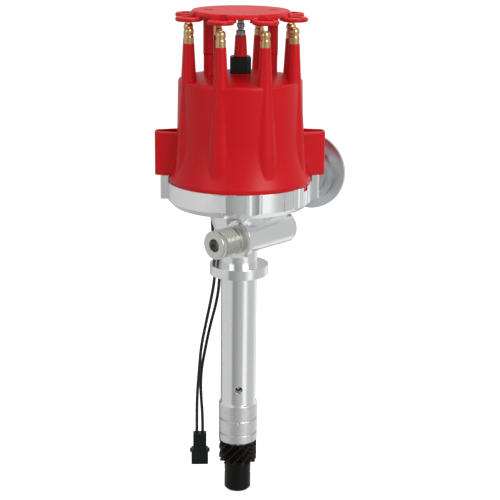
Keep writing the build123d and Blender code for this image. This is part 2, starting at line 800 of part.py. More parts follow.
with BuildSketch(Plane.XZ) as cap_outline:
    with BuildLine():
        ThreePointArc(
            (0, cap_deck_centre),
            (cap_deck_radius / 2, cap_deck_centre - cap_crown / 4),
            (cap_deck_radius - cap_edge_rounding, cap_deck_edge),
        )
        TangentArc(
            (cap_deck_radius, cap_deck_edge - cap_edge_rounding),
            (cap_deck_radius - cap_edge_rounding, cap_deck_edge),
            tangent=(0, 1),
        )
        Line((cap_deck_radius, cap_deck_edge - cap_edge_rounding), (cap_drum_radius, cap_flare_top))
        TangentArc(
            (cap_drum_radius, cap_flare_top), (cap_skirt_radius, cap_skirt_top), tangent=(0, -1)
        )
        Polyline(
            (cap_skirt_radius, cap_skirt_top),
            (cap_skirt_radius, cap_bottom),
            (0, cap_bottom),
            (0, cap_deck_centre),
        )
    make_face()


def wing_corners(side, inset):
    """Plan of a wing, which narrows outwards, with its three outer walls inset."""
    inner = cap_deck_radius - 4
    outer = wing_reach - inset
    inner_half = wing_root_width / 2 - inset
    narrowing = (wing_root_width - wing_end_width) / 2 / (wing_reach - inner)
    outer_half = inner_half - narrowing * (outer - inner)
    return [
        (side * inner, -inner_half),
        (side * outer, -outer_half),
        (side * outer, outer_half),
        (side * inner, inner_half),
    ]


# hollow wings for the hold-down screws, and the pockets inside them
with BuildPart() as wings:
    for side in (-1, 1):
        with BuildSketch(Plane.XY.offset(wing_bottom)) as wing_plan:
            with BuildLine():
                Polyline(*wing_corners(side, 0), close=True)
            make_face()
            outer_corners = wing_plan.vertices().filter_by(lambda v: abs(v.X) > wing_reach - 0.1)
            fillet(outer_corners, wing_corner)
        extrude(amount=wing_top - wing_bottom)
    top_edges = wings.edges().group_by(Axis.Z)[-1]
    fillet(top_edges.filter_by(lambda e: abs(e.center().X) > cap_deck_radius - 3), wing_edge_rounding)

with BuildPart() as wing_pockets:
    for side in (-1, 1):
        with BuildSketch(Plane.XY.offset(wing_bottom + wing_floor)) as pocket_plan:
            with BuildLine():
                Polyline(*wing_corners(side, wing_wall), close=True)
            make_face()
            pocket_end = wing_reach - wing_wall
            outer_corners = pocket_plan.vertices().filter_by(lambda v: abs(v.X) > pocket_end - 0.1)
            fillet(outer_corners, wing_corner - wing_wall)
        extrude(amount=wing_top - wing_bottom)
    revolve(cap_outline.sketch, axis=Axis.Z, mode=Mode.SUBTRACT)

with BuildPart() as cap:
    revolve(cap_outline.sketch, axis=Axis.Z)
    # towers, which run on down the drum as wider ribs until the flared skirt swallows them
    tower_foot_radius = tower_top_radius + tower_draft * (tower_top - cap_deck_edge)
    rib_foot_radius = tower_foot_radius + rib_draft * (cap_deck_edge - rib_foot)
    with Locations((0, 0, cap_deck_edge)):
        with PolarLocations(tower_circle, tower_count, start_angle=tower_start):
            Cone(
                tower_foot_radius,
                tower_top_radius,
                tower_top - cap_deck_edge,
                align=(Align.CENTER, Align.CENTER, Align.MIN),
            )
    with Locations((0, 0, rib_foot)):
        with PolarLocations(tower_circle, tower_count, start_angle=tower_start):
            Cone(
                rib_foot_radius,
                tower_foot_radius,
                cap_deck_edge - rib_foot,
                align=(Align.CENTER, Align.CENTER, Align.MIN),
            )
    with Locations((0, 0, cap_ceiling)):
        Cone(
            coil_tower_radius + coil_tower_draft * (coil_tower_top - cap_ceiling),
            coil_tower_radius,
            coil_tower_top - cap_ceiling,
            align=(Align.CENTER, Align.CENTER, Align.MIN),
        )
    with BuildSketch(Plane.XY.offset(cap_ceiling)):
        with Locations((post_circle, 0), (-post_circle, 0)):
            Circle(post_radius)
    extrude(amount=post_top - cap_ceiling)
    add(wings.part)
    add(wing_pockets.part, mode=Mode.SUBTRACT)
    # key that drops into the notch of the bowl's rim
    with BuildSketch(Plane.XY.offset(bowl_rim - cap_key_depth)):
        with Locations(
            Location(
                (*turned(cap_key_angle, cap_skirt_radius - cap_key_thickness / 2), 0), (0, 0, cap_key_angle)
            )
        ):
            Rectangle(cap_key_thickness, cap_key_width)
    extrude(amount=cap_key_depth + 1)
    # lip that drops into the bowl, then the hollow inside
    with BuildSketch(Plane.XY.offset(bowl_rim - cap_lip_depth)):
        Circle(lip_outer)
    extrude(amount=cap_lip_depth + 1)
    with BuildSketch(Plane.XZ):
        with BuildLine():
            Polyline(
                (cap_inner_radius, cap_flare_top),
                (cap_inner_radius, cap_shelf),
                (cap_shelf_radius, cap_shelf),
                (cap_shelf_radius, cap_ceiling - 3),
                (cap_shelf_radius - 3, cap_ceiling),
                (0, cap_ceiling),
                (0, bowl_rim - cap_lip_depth - 1),
                (lip_inner, bowl_rim - cap_lip_depth - 1),
                (lip_inner, cap_skirt_top),
            )
            TangentArc(
                (cap_inner_radius, cap_flare_top), (lip_inner, cap_skirt_top), tangent=(0, -1)
            )
        make_face()
    revolve(axis=Axis.Z, mode=Mode.SUBTRACT)
    with BuildSketch(Plane.XY.offset(contact_boss_bottom)):
        Circle(contact_boss_radius)
    extrude(amount=cap_ceiling - contact_boss_bottom + 1)
    # gap in the lip over the rod of the vacuum advance
    lip_bottom = bowl_rim - cap_lip_depth
    with BuildSketch(Plane(rod_plane.origin, rod_plane.x_dir).offset(lip_bottom - rod_height - 1)):
        with Locations(((notch_start + notch_end) / 2, 0)):
            Rectangle(notch_end - notch_start, notch_width)
    extrude(amount=cap_bottom - lip_bottom + 1, mode=Mode.SUBTRACT)
    # bores of the terminals and of the carbon button
    with BuildSketch(Plane.XY.offset(cap_shelf - 1)):
        with PolarLocations(tower_circle, tower_count, start_angle=tower_start):
            Circle(stem_radius + seat_gap)
    extrude(amount=tower_top - cap_shelf + 2, mode=Mode.SUBTRACT)
    with BuildSketch(Plane.XY.offset(coil_stem_bottom)):
        Circle(stem_radius + seat_gap)
    extrude(amount=coil_tower_top - coil_stem_bottom + 1, mode=Mode.SUBTRACT)
    with BuildSketch(Plane.XY.offset(contact_boss_bottom - 1)):
        Circle(button_radius + run_gap)
    extrude(amount=coil_stem_bottom - contact_boss_bottom + 1, mode=Mode.SUBTRACT)
    # screw holes in the wing floors and in the posts
    with BuildSketch(Plane.XY.offset(wing_bottom - 1)):
        with Locations((hold_down_reach, 0), (-hold_down_reach, 0)):
            Circle(hold_down_radius + 0.2)
    extrude(amount=wing_floor + 2, mode=Mode.SUBTRACT)
    with BuildSketch(Plane.XY.offset(post_top)):
        with Locations((post_circle, 0), (-post_circle, 0)):
            Circle(post_screw_radius + seat_gap)
    extrude(amount=-post_screw_depth, mode=Mode.SUBTRACT)
cap.part.label = "cap"
export_step(cap.part, "parts/cap.step")

with BuildPart() as cap_screws:
    with BuildSketch(Plane.XY.offset(wing_bottom - 11)):
        with Locations((hold_down_reach, 0), (-hold_down_reach, 0)):
            Circle(hold_down_radius)
    extrude(amount=wing_floor + 11.5)
    with BuildSketch(Plane.XY.offset(wing_bottom + wing_floor + seat_gap)):
        with Locations((hold_down_reach, 0), (-hold_down_reach, 0)):
            Circle(hold_down_head_radius)
    extrude(amount=hold_down_head_height)
    with BuildSketch(Plane.XY.offset(wing_bottom + wing_floor + hold_down_head_height + seat_gap)):
        with Locations((hold_down_reach, 0), (-hold_down_reach, 0)):
            Rectangle(2 * hold_down_head_radius, 1.0)
    extrude(amount=-1.2, mode=Mode.SUBTRACT)
cap_screws.part.label = "cap_screws"
export_step(cap_screws.part, "parts/cap_screws.step")

with BuildPart() as vent_collar:
    vent_bottom = cap_deck_centre + seat_gap
    with BuildSketch(Plane.XY.offset(vent_bottom)):
        RectangleRounded(vent_width, vent_width, vent_corner)
    extrude(amount=vent_height)
    fillet(vent_collar.edges().group_by(Axis.Z)[-1], vent_edge)
    with Locations((0, 0, cap_ceiling)):
        Cone(
            coil_tower_radius + coil_tower_draft * (coil_tower_top - cap_ceiling) + seat_gap,
            coil_tower_radius + seat_gap,
            coil_tower_top - cap_ceiling,
            align=(Align.CENTER, Align.CENTER, Align.MIN),
            mode=Mode.SUBTRACT,
        )
vent_collar.part.label = "vent_collar"
export_step(vent_collar.part, "parts/vent_collar.step")

# ======================================================================= terminals
for number in range(tower_count):
    tower_angle = tower_start + number * 360 / tower_count
    tower_x, tower_y = turned(tower_angle, tower_circle)
    seat = tower_top + seat_gap
    head_bottom = seat + terminal_head_start
    with BuildPart() as plug_terminal:
        with BuildSketch(upright(tower_x, tower_y, tower_angle)):
            with BuildLine():
                Polyline(
                    (0, terminal_tip),
                    (0, stem_bottom),
                    (stem_radius, stem_bottom),
                    (stem_radius, seat),
                    (terminal_radius, seat),
                    (terminal_radius, seat + terminal_band),
                    (terminal_waist, seat + terminal_waist_height),
                    (terminal_waist, head_bottom),
                )
                ThreePointArc(
                    (terminal_waist, head_bottom),
                    (terminal_radius, head_bottom + (terminal_tip - head_bottom) / 3),
                    (terminal_tip_radius, terminal_tip),
                )
                Line((terminal_tip_radius, terminal_tip), (0, terminal_tip))
            make_face()
        revolve(axis=Axis((tower_x, tower_y, 0), (0, 0, 1)))
        # electrode that reaches in towards the rotor
        with BuildSketch(Plane.XY.offset(stem_bottom)):
            with Locations(
                Location((*turned(tower_angle, (foot_reach + tower_circle) / 2), 0), (0, 0, tower_angle))
            ):
                Rectangle(tower_circle - foot_reach, foot_width)
        extrude(amount=foot_height)
    plug_terminal.part.label = f"plug_terminal_{number + 1}"
    export_step(plug_terminal.part, f"parts/plug_terminal_{number + 1}.step")

with BuildPart() as coil_terminal:
    band_bottom_level = coil_tower_top + seat_gap
    band_points = []
    for band_radius_here, band_height in coil_bands:
        band_top_level = band_bottom_level + band_height
        band_points.append((coil_neck_radius, band_bottom_level - 0.4))
        band_points.append((band_radius_here, band_bottom_level))
        band_points.append((band_radius_here, band_top_level - 0.4))
        band_points.append((coil_neck_radius, band_top_level))
        band_bottom_level = band_top_level + coil_neck_height
    with BuildSketch(Plane.XZ):
        with BuildLine():
            Polyline(
                (0, coil_terminal_tip),
                (0, coil_stem_bottom + seat_gap),
                (stem_radius, coil_stem_bottom + seat_gap),
                (stem_radius, coil_tower_top + seat_gap),
                *band_points[1:],
                close=True,
            )
        make_face()
    revolve(axis=Axis.Z)
coil_terminal.part.label = "coil_terminal"
export_step(coil_terminal.part, "parts/coil_terminal.step")

with BuildPart() as carbon_button:
    with BuildSketch(Plane.XY.offset(button_bottom)):
        Circle(button_radius)
    extrude(amount=button_top - button_bottom)
    fillet(carbon_button.edges().group_by(Axis.Z)[0], button_rounding)
carbon_button.part.label = "carbon_button"
export_step(carbon_button.part, "parts/carbon_button.step")

with BuildPart() as button_spring:
    coil_radius = button_spring_radius - button_spring_wire / 2
    coil_bottom = button_top + button_spring_wire
    coil_height = coil_stem_bottom - button_spring_wire - coil_bottom
    with BuildLine() as button_coil:
        Helix(
            pitch=coil_height / button_spring_turns,
            height=coil_height,
            radius=coil_radius,
            center=(0, 0, coil_bottom),
        )
    with BuildSketch(Plane(origin=button_coil.line @ 0, z_dir=button_coil.line % 0)):
        Rectangle(button_spring_wire, button_spring_wire)
    sweep(path=button_coil.line, is_frenet=True)
button_spring.part.label = "button_spring"
export_step(button_spring.part, "parts/button_spring.step")

# ======================================================================= wire retainer
disc_top = disc_bottom + disc_thickness
head_seat = disc_top - retainer_head_height - 0.4

with BuildPart() as lobes:
    with BuildSketch(Plane.XY.offset(retainer_bottom)):
        with PolarLocations(tower_circle, tower_count, start_angle=tower_start):
            Circle(lobe_radius)
    extrude(amount=lobe_thickness)
    chamfer(lobes.edges().filter_by(GeomType.CIRCLE), lobe_bevel)

# webs that join the lobes to the underside of the disc
with BuildPart() as webs:
    with BuildSketch(Plane.XY.offset(retainer_bottom + lobe_bevel)):
        with PolarLocations(tower_circle, tower_count, start_angle=tower_start):
            Circle(lobe_radius + web_spread)
        Circle(disc_radius, mode=Mode.INTERSECT)
    extrude(amount=disc_bottom + disc_edge / 2 - retainer_bottom - lobe_bevel)

with BuildPart() as wire_retainer:
    with BuildSketch(Plane.XZ):
        with BuildLine():
            Polyline(
                (0, disc_bottom),
                (disc_radius, disc_bottom),
                (disc_radius, disc_bottom + disc_edge),
                (plateau_radius, disc_top),
                (0, disc_top),
                close=True,
            )
        make_face()
    revolve(axis=Axis.Z)
    add(webs.part)
    add(lobes.part)
    with BuildSketch(Plane.XY.offset(retainer_bottom - 1)):
        with PolarLocations(tower_circle, tower_count, start_angle=tower_start):
            Circle(lobe_hole_radius)
    extrude(amount=disc_top - retainer_bottom + 2, mode=Mode.SUBTRACT)
    # legs over the posts of the cap, drilled for the long screws
    with BuildSketch(Plane.XY.offset(post_top + seat_gap)):
        with Locations((post_circle, 0), (-post_circle, 0)):
            Circle(leg_radius)
    extrude(amount=disc_bottom - post_top)
    with Locations((post_circle, 0, disc_top), (-post_circle, 0, disc_top)):
        CounterBoreHole(
            radius=post_screw_radius + 0.15,
            counter_bore_radius=retainer_head_radius + 0.3,
            counter_bore_depth=disc_top - head_seat,
            depth=disc_top - post_top + 1,
        )
wire_retainer.part.label = "wire_retainer"
export_step(wire_retainer.part, "parts/wire_retainer.step")

with BuildPart() as retainer_screws:
    with BuildSketch(Plane.XY.offset(post_top - retainer_screw_grip)):
        with Locations((post_circle, 0), (-post_circle, 0)):
            Circle(post_screw_radius)
    extrude(amount=head_seat + 0.5 - post_top + retainer_screw_grip)
    with BuildSketch(Plane.XY.offset(head_seat + seat_gap)):
        with Locations((post_circle, 0), (-post_circle, 0)):
            Circle(retainer_head_radius)
            RegularPolygon(1.6, 6, mode=Mode.SUBTRACT)
    extrude(amount=retainer_head_height)
retainer_screws.part.label = "retainer_screws"
export_step(retainer_screws.part, "parts/retainer_screws.step")

# ======================================================================= advance head
# The sleeve turns on the top of the shaft. It carries the reluctor below, the weights on
# its base plate, and the rotor on two legs above them.
sleeve_bottom = shaft_step + run_gap
base_plate_top = base_plate_bottom + base_plate_thickness
stop_angle = cam_angle + 180
cam_plate_bottom = journal_top + seat_gap
cam_plate_top = cam_plate_bottom + cam_plate_thickness
bushing_top = cam_plate_top + 0.8
nut_height = 1.2
rotor_screw_radius = 1.5
rotor_legs = [turned(rotor_leg_angle + half, rotor_leg_circle) for half in (0, 180)]

with BuildPart() as advance_sleeve:
    with BuildSketch(Plane.XY.offset(sleeve_bottom)):
        Circle(sleeve_radius)
    extrude(amount=base_plate_bottom - sleeve_bottom)
    with BuildSketch(Plane.XY.offset(base_plate_bottom)):
        Circle(pivot_circle - 5)
        SlotCenterToCenter(2 * pivot_circle, 13)
        SlotCenterToCenter(2 * rotor_leg_circle, 12.4, rotation=rotor_leg_angle)
    extrude(amount=base_plate_thickness)
    with BuildSketch(Plane.XY.offset(base_plate_bottom)):
        with Locations((pivot_circle, 0), (-pivot_circle, 0)):
            Circle(pivot_radius)
    extrude(amount=pivot_top - base_plate_bottom)
    with BuildSketch(Plane.XY.offset(base_plate_bottom)):
        with Locations(turned(stop_angle, stop_circle)):
            Circle(stop_bushing_radius / 2)
    extrude(amount=bushing_top + nut_height + 0.6 - base_plate_bottom)
    with BuildSketch(Plane.XY.offset(sleeve_bottom)):
        Circle(journal_radius + run_gap)
    extrude(amount=base_plate_top - sleeve_bottom, mode=Mode.SUBTRACT)
    with BuildSketch(Plane.XY.offset(base_plate_bottom)):
        with Locations(*rotor_legs):
            Circle(rotor_screw_radius + seat_gap)
    extrude(amount=base_plate_thickness, mode=Mode.SUBTRACT)
advance_sleeve.part.label = "advance_sleeve"
export_step(advance_sleeve.part, "parts/advance_sleeve.step")

with BuildPart() as reluctor:
    with BuildSketch(Plane.XY.offset(reluctor_bottom)):
        Circle(reluctor_core_radius)
        with PolarLocations((reluctor_core_radius + reluctor_tip_radius - 1) / 2, tower_count):
            Rectangle(reluctor_tip_radius - reluctor_core_radius + 1, reluctor_tip_width)
        Circle(sleeve_radius + seat_gap, mode=Mode.SUBTRACT)
    extrude(amount=reluctor_thickness)
reluctor.part.label = "reluctor"
export_step(reluctor.part, "parts/reluctor.step")

with BuildPart() as stop_bushing:
    with BuildSketch(Plane.XY.offset(weight_bottom + weight_thickness + 0.15)):
        with Locations(turned(stop_angle, stop_circle)):
            Circle(stop_bushing_radius)
            Circle(stop_bushing_radius / 2 + seat_gap, mode=Mode.SUBTRACT)
    extrude(amount=bushing_top - weight_bottom - weight_thickness - 0.15)
stop_bushing.part.label = "stop_bushing"
export_step(stop_bushing.part, "parts/stop_bushing.step")

with BuildPart() as stop_nut:
    with BuildSketch(Plane.XY.offset(bushing_top + seat_gap)):
        with Locations(turned(stop_angle, stop_circle)):
            RegularPolygon(2.6, 6)
            Circle(stop_bushing_radius / 2 + seat_gap, mode=Mode.SUBTRACT)
    extrude(amount=nut_height)
stop_nut.part.label = "stop_nut"
export_step(stop_nut.part, "parts/stop_nut.step")

weight_end_angle = weight_span
for number, turn in ((1, 0), (2, 180)):
    weight_plane = Plane(
        origin=(0, 0, weight_bottom),
        x_dir=(cos(radians(turn)), sin(radians(turn)), 0),
        z_dir=(0, 0, 1),
    )
    with BuildPart() as advance_weight:
        with BuildSketch(weight_plane):
            with BuildLine():
                Line(turned(4, weight_inner), turned(4, weight_outer))
                ThreePointArc(
                    turned(4, weight_outer),
                    turned(weight_end_angle / 2, weight_outer),
                    turned(weight_end_angle, weight_outer),
                )
                Line(turned(weight_end_angle, weight_outer), turned(weight_end_angle, weight_inner))
                ThreePointArc(
                    turned(weight_end_angle, weight_inner),
                    turned(weight_end_angle / 2, weight_inner),
                    turned(4, weight_inner),
                )
            make_face()
            with Locations((pivot_circle, 0)):
                Circle(weight_eye_radius)
                Circle(pivot_radius + run_gap, mode=Mode.SUBTRACT)
        extrude(amount=weight_thickness)
    advance_weight.part.label = f"advance_weight_{number}"
    export_step(advance_weight.part, f"parts/advance_weight_{number}.step")

# ---- fixed on the shaft end: the cam that the weights push on, with the spring posts ----
post_circle_springs = cam_reach - 1.5
spring_height = cam_plate_top + 2.0
with BuildPart() as advance_cam:
    with BuildSketch(Plane.XY.offset(base_plate_top + end_play)):
        SlotCenterToCenter(3.6, 16.8, rotation=cam_angle)
    extrude(amount=cam_plate_bottom - base_plate_top - end_play)
    with BuildSketch(Plane.XY.offset(cam_plate_bottom)):
        SlotOverall(2 * cam_reach, cam_width, rotation=cam_angle)
        SlotArc(
            CenterArc((0, 0), stop_circle, stop_angle - stop_travel - 0.5, stop_travel + 1),
            2 * stop_bushing_radius + 0.3,
            mode=Mode.SUBTRACT,
        )
    extrude(amount=cam_plate_thickness)
    with BuildSketch(Plane.XY.offset(cam_plate_bottom)):
        with PolarLocations(post_circle_springs, 2, start_angle=cam_angle):
            Circle(1.2)
    extrude(amount=pivot_top - cam_plate_bottom)
    with BuildSketch(Plane.XY.offset(base_plate_top)):
        Circle(journal_radius + seat_gap)
    extrude(amount=cam_plate_bottom - base_plate_top, mode=Mode.SUBTRACT)
    with BuildSketch(Plane.XY.offset(cam_plate_bottom)):
        Circle(1.9)
    extrude(amount=cam_plate_thickness, mode=Mode.SUBTRACT)
advance_cam.part.label = "advance_cam"
export_step(advance_cam.part, "parts/advance_cam.step")

with BuildPart() as cam_screw:
    with BuildSketch(Plane.XY.offset(journal_top - 8)):
        Circle(1.75)
    extrude(amount=cam_plate_top - journal_top + 8.5)
    with BuildSketch(Plane.XY.offset(cam_plate_top + seat_gap)):
        Circle(3.4)
        RegularPolygon(1.5, 6, mode=Mode.SUBTRACT)
    extrude(amount=1.8)
cam_screw.part.label = "cam_screw"
export_step(cam_screw.part, "parts/cam_screw.step")

# two tension springs, from the posts of the cam to the pivots of the weights
spring_length = hypot(
    pivot_circle - turned(cam_angle, post_circle_springs)[0], turned(cam_angle, post_circle_springs)[1]
)
coil_length = spring_length - 8.0
coil_waves = 8
with BuildPart() as advance_springs:
    for turn in (0, 180):
        eye_x, eye_y = turned(turn, pivot_circle)
        post_x, post_y = turned(turn + cam_angle, post_circle_springs)
        line_angle = degrees(atan2(post_y - eye_y, post_x - eye_x))
        coil_points = [(4.4, spring_height)]
        for wave in range(coil_waves):
            start = 4.4 + wave * coil_length / coil_waves
            coil_points.append((start + 0.1 * coil_length / coil_waves, spring_height + 1.0))
            coil_points.append((start + 0.5 * coil_length / coil_waves, spring_height + 1.6))
            coil_points.append((start + 0.9 * coil_length / coil_waves, spring_height + 1.0))
        coil_points.append((4.4 + coil_length, spring_height))
        with BuildSketch(upright(eye_x, eye_y, line_angle)):
            with BuildLine():
                Polyline(*coil_points, close=True)
            make_face()
        revolve(
            axis=Axis(
                (eye_x, eye_y, spring_height),
                (cos(radians(line_angle)), sin(radians(line_angle)), 0),
            )
        )
        with BuildSketch(Plane.XY.offset(spring_height - 0.4)):
            with Locations(Location((eye_x, eye_y, 0), (0, 0, line_angle))):
                with Locations((3.6, 0)):
                    Rectangle(3.0, 1.2)
                with Locations((spring_length - 3.0, 0)):
                    Rectangle(3.6, 1.2)
                Circle(pivot_radius + 1.0)
                Circle(pivot_radius + 0.15, mode=Mode.SUBTRACT)
                with Locations((spring_length, 0)):
                    Circle(2.1)
                    Circle(1.35, mode=Mode.SUBTRACT)
        extrude(amount=0.8)
advance_springs.part.label = "advance_springs"
export_step(advance_springs.part, "parts/advance_springs.step")

# ======================================================================= rotor
rotor_angle = tower_start - 90
disc_level = rotor_bottom + rotor_disc_thickness
with BuildPart() as rotor:
    with BuildSketch(Plane.XY.offset(rotor_bottom)):
        Circle(rotor_disc_radius)
    extrude(amount=rotor_disc_thickness)
    with BuildSketch(Plane.XY.offset(disc_level)):
        Circle(rotor_neck_radius + 6)
    extrude(amount=rotor_top - disc_level, taper=18)
    with BuildSketch(Plane.XY.offset(disc_level)):
        with Locations(Location((*turned(rotor_angle, rotor_disc_radius / 2 - 1), 0), (0, 0, rotor_angle))):
            Rectangle(rotor_disc_radius, blade_width + 2)
    extrude(amount=rotor_top - disc_level)
    with BuildSketch(Plane.XY.offset(base_plate_top + seat_gap)):
        with Locations(*rotor_legs):
            Circle(rotor_leg_radius)
    extrude(amount=rotor_bottom - base_plate_top)
    with BuildSketch(Plane.XY.offset(base_plate_top)):
        with Locations(*rotor_legs):
            Circle(rotor_screw_radius + 0.1)
    extrude(amount=disc_level - base_plate_top, mode=Mode.SUBTRACT)
rotor.part.label = "rotor"
export_step(rotor.part, "parts/rotor.step")

with BuildPart() as rotor_blade:
    blade_length = blade_reach + 5
    with BuildSketch(Plane.XY.offset(rotor_top + seat_gap)):
        with Locations(
            Location((*turned(rotor_angle, blade_reach - blade_length / 2), 0), (0, 0, rotor_angle))
        ):
            Rectangle(blade_length, blade_width)
    extrude(amount=blade_thickness)
    with BuildSketch(Plane.XY.offset(rotor_top)):
        Circle(blade_reach)
    extrude(amount=blade_thickness + 1, mode=Mode.INTERSECT)
rotor_blade.part.label = "rotor_blade"
export_step(rotor_blade.part, "parts/rotor_blade.step")

with BuildPart() as rotor_screws:
    with BuildSketch(Plane.XY.offset(base_plate_bottom + 0.3)):
        with Locations(*rotor_legs):
            Circle(rotor_screw_radius)
    extrude(amount=disc_level - base_plate_bottom)
    with BuildSketch(Plane.XY.offset(disc_level + seat_gap)):
        with Locations(*rotor_legs):
            Circle(2.8)
    extrude(amount=2.0)
    with BuildSketch(Plane.XY.offset(disc_level + seat_gap + 2.0)):
        with Locations(*rotor_legs):
            Rectangle(6, 0.8)
    extrude(amount=-0.9, mode=Mode.SUBTRACT)
rotor_screws.part.label = "rotor_screws"
export_step(rotor_screws.part, "parts/rotor_screws.step")

# ======================================================================= pickup plate
plate_top = plate_bottom + plate_thickness
pin_rest_angle = vacuum_angle - 90 - vacuum_swing / 2
pickup_angle = 190.0
pickup_inner = reluctor_tip_radius + 3.0
pickup_depth = 8.0
pickup_width = 26.0
pickup_height = 12.0
pole_gap = 0.7
pickup_centre = turned(pickup_angle, pickup_inner + pickup_depth / 2)
pickup_frame = Location((*pickup_centre, 0), (0, 0, pickup_angle))

with BuildPart() as pickup_plate:
    with BuildSketch(Plane.XY.offset(plate_bottom)):
        Circle(plate_radius)
        Circle(hub_radius + run_gap, mode=Mode.SUBTRACT)
    extrude(amount=plate_thickness)
    with BuildSketch(Plane.XY.offset(plate_bottom)):
        with Locations(turned(pin_rest_angle, pin_circle)):
            Circle(pin_radius)
    extrude(amount=rod_height + rod_thickness / 2 + 1.2 - plate_bottom)
    with BuildSketch(Plane.XY.offset(plate_bottom)):
        with Locations(pickup_frame):
            with Locations((0, 10), (0, -10)):
                Circle(1.3)
    extrude(amount=plate_thickness, mode=Mode.SUBTRACT)
pickup_plate.part.label = "pickup_plate"
export_step(pickup_plate.part, "parts/pickup_plate.step")

with BuildPart() as pickup:
    with BuildSketch(Plane.XY.offset(plate_top + seat_gap)):
        with Locations(pickup_frame):
            RectangleRounded(pickup_depth, pickup_width, 1.5)
    extrude(amount=3.0)
    with BuildSketch(Plane.XY.offset(plate_top + seat_gap)):
        with Locations(pickup_frame):
            RectangleRounded(pickup_depth, pickup_width - 12, 1.5)
    extrude(amount=pickup_height)
    # pole piece that stops short of the reluctor teeth
    with BuildSketch(Plane.XY.offset(reluctor_bottom + 0.5)):
        with Locations(
            Location(
                (*turned(pickup_angle, (reluctor_tip_radius + pole_gap + pickup_inner + 2) / 2), 0),
                (0, 0, pickup_angle),
            )
        ):
            Rectangle(pickup_inner + 2 - reluctor_tip_radius - pole_gap, reluctor_tip_width + 0.6)
    extrude(amount=reluctor_thickness - 1)
    with BuildSketch(Plane.XY.offset(plate_top)):
        with Locations(pickup_frame):
            with Locations((0, 10), (0, -10)):
                Circle(1.4)
    extrude(amount=4, mode=Mode.SUBTRACT)
pickup.part.label = "pickup"
export_step(pickup.part, "parts/pickup.step")

with BuildPart() as pickup_screws:
    with BuildSketch(Plane.XY.offset(plate_bottom + 0.2)):
        with Locations(pickup_frame):
            with Locations((0, 10), (0, -10)):
                Circle(1.25)
    extrude(amount=plate_thickness + 3.2)
    with BuildSketch(Plane.XY.offset(plate_top + 3.0 + 2 * seat_gap)):
        with Locations(pickup_frame):
            with Locations((0, 10), (0, -10)):
                Circle(2.3)
    extrude(amount=1.6)
pickup_screws.part.label = "pickup_screws"
export_step(pickup_screws.part, "parts/pickup_screws.step")

with BuildPart() as plate_snap_ring:
    with BuildSketch(Plane.XY.offset(ring_bottom + seat_gap)):
        Circle(hub_radius + 1.6)
        Circle(hub_radius - ring_groove_depth + 0.1, mode=Mode.SUBTRACT)
        with Locations((-hub_radius, 0)):
            Rectangle(8, 9, mode=Mode.SUBTRACT)
    extrude(amount=ring_thickness - 2 * seat_gap)
plate_snap_ring.part.label = "plate_snap_ring"
export_step(plate_snap_ring.part, "parts/plate_snap_ring.step")

# ======================================================================= vacuum advance
pull = (cos(radians(vacuum_angle)), sin(radians(vacuum_angle)), 0)
seam_x = rod_plane.origin.X + canister_distance * pull[0]
seam_y = rod_plane.origin.Y + canister_distance * pull[1]
canister_axis = Axis((seam_x, seam_y, rod_height), pull)
front_face = -front_shell_depth - front_step_depth
rod_hole_radius = 4.2

with BuildPart() as vacuum_front_shell:
    with BuildSketch(upright(seam_x, seam_y, vacuum_angle)):
        with BuildLine():
            Polyline(
                (0, rod_height + canister_rim_radius),
                (0, rod_height + front_shell_radius - canister_sheet),
                (-front_shell_depth + canister_sheet, rod_height + front_shell_radius - canister_sheet),
                (-front_shell_depth + canister_sheet, rod_height + front_step_radius - canister_sheet),
                (front_face + canister_sheet, rod_height + front_step_radius - canister_sheet),
                (front_face + canister_sheet, rod_height + rod_hole_radius),
                (front_face, rod_height + rod_hole_radius),
                (front_face, rod_height + front_step_radius),
                (-front_shell_depth, rod_height + front_step_radius),
                (-front_shell_depth, rod_height + front_shell_radius),
                (-canister_rim_thickness, rod_height + front_shell_radius),
                (-canister_rim_thickness, rod_height + canister_rim_radius),
                close=True,
            )
        make_face()
    revolve(axis=canister_axis)
vacuum_front_shell.part.label = "vacuum_front_shell"
export_step(vacuum_front_shell.part, "parts/vacuum_front_shell.step")

with BuildPart() as vacuum_rear_shell:
    shell_slope = 4.0
    with BuildSketch(upright(seam_x, seam_y, vacuum_angle)):
        with BuildLine():
            Polyline(
                (seat_gap, rod_height + canister_rim_radius),
                (canister_rim_thickness, rod_height + canister_rim_radius),
                (canister_rim_thickness, rod_height + rear_shell_radius),
                (rear_shell_depth - shell_slope, rod_height + rear_shell_radius),
                (rear_shell_depth, rod_height + rear_shell_radius - shell_slope),
                (rear_shell_depth, rod_height + nipple_radius + nipple_blend),
                (rear_shell_depth + nipple_blend, rod_height + nipple_radius),
                (rear_shell_depth + nipple_length - nipple_blend, rod_height + nipple_radius),
                (rear_shell_depth + nipple_length, rod_height + nipple_radius - nipple_blend),
                (rear_shell_depth + nipple_length, rod_height + nipple_bore),
                (rear_shell_depth - canister_sheet, rod_height + nipple_bore),
                (rear_shell_depth - canister_sheet, rod_height + rear_shell_radius - shell_slope - 0.5),
                (rear_shell_depth - shell_slope - 0.5, rod_height + rear_shell_radius - canister_sheet),
                (seat_gap, rod_height + rear_shell_radius - canister_sheet),
                close=True,
            )
        make_face()
    revolve(axis=canister_axis)
vacuum_rear_shell.part.label = "vacuum_rear_shell"
export_step(vacuum_rear_shell.part, "parts/vacuum_rear_shell.step")

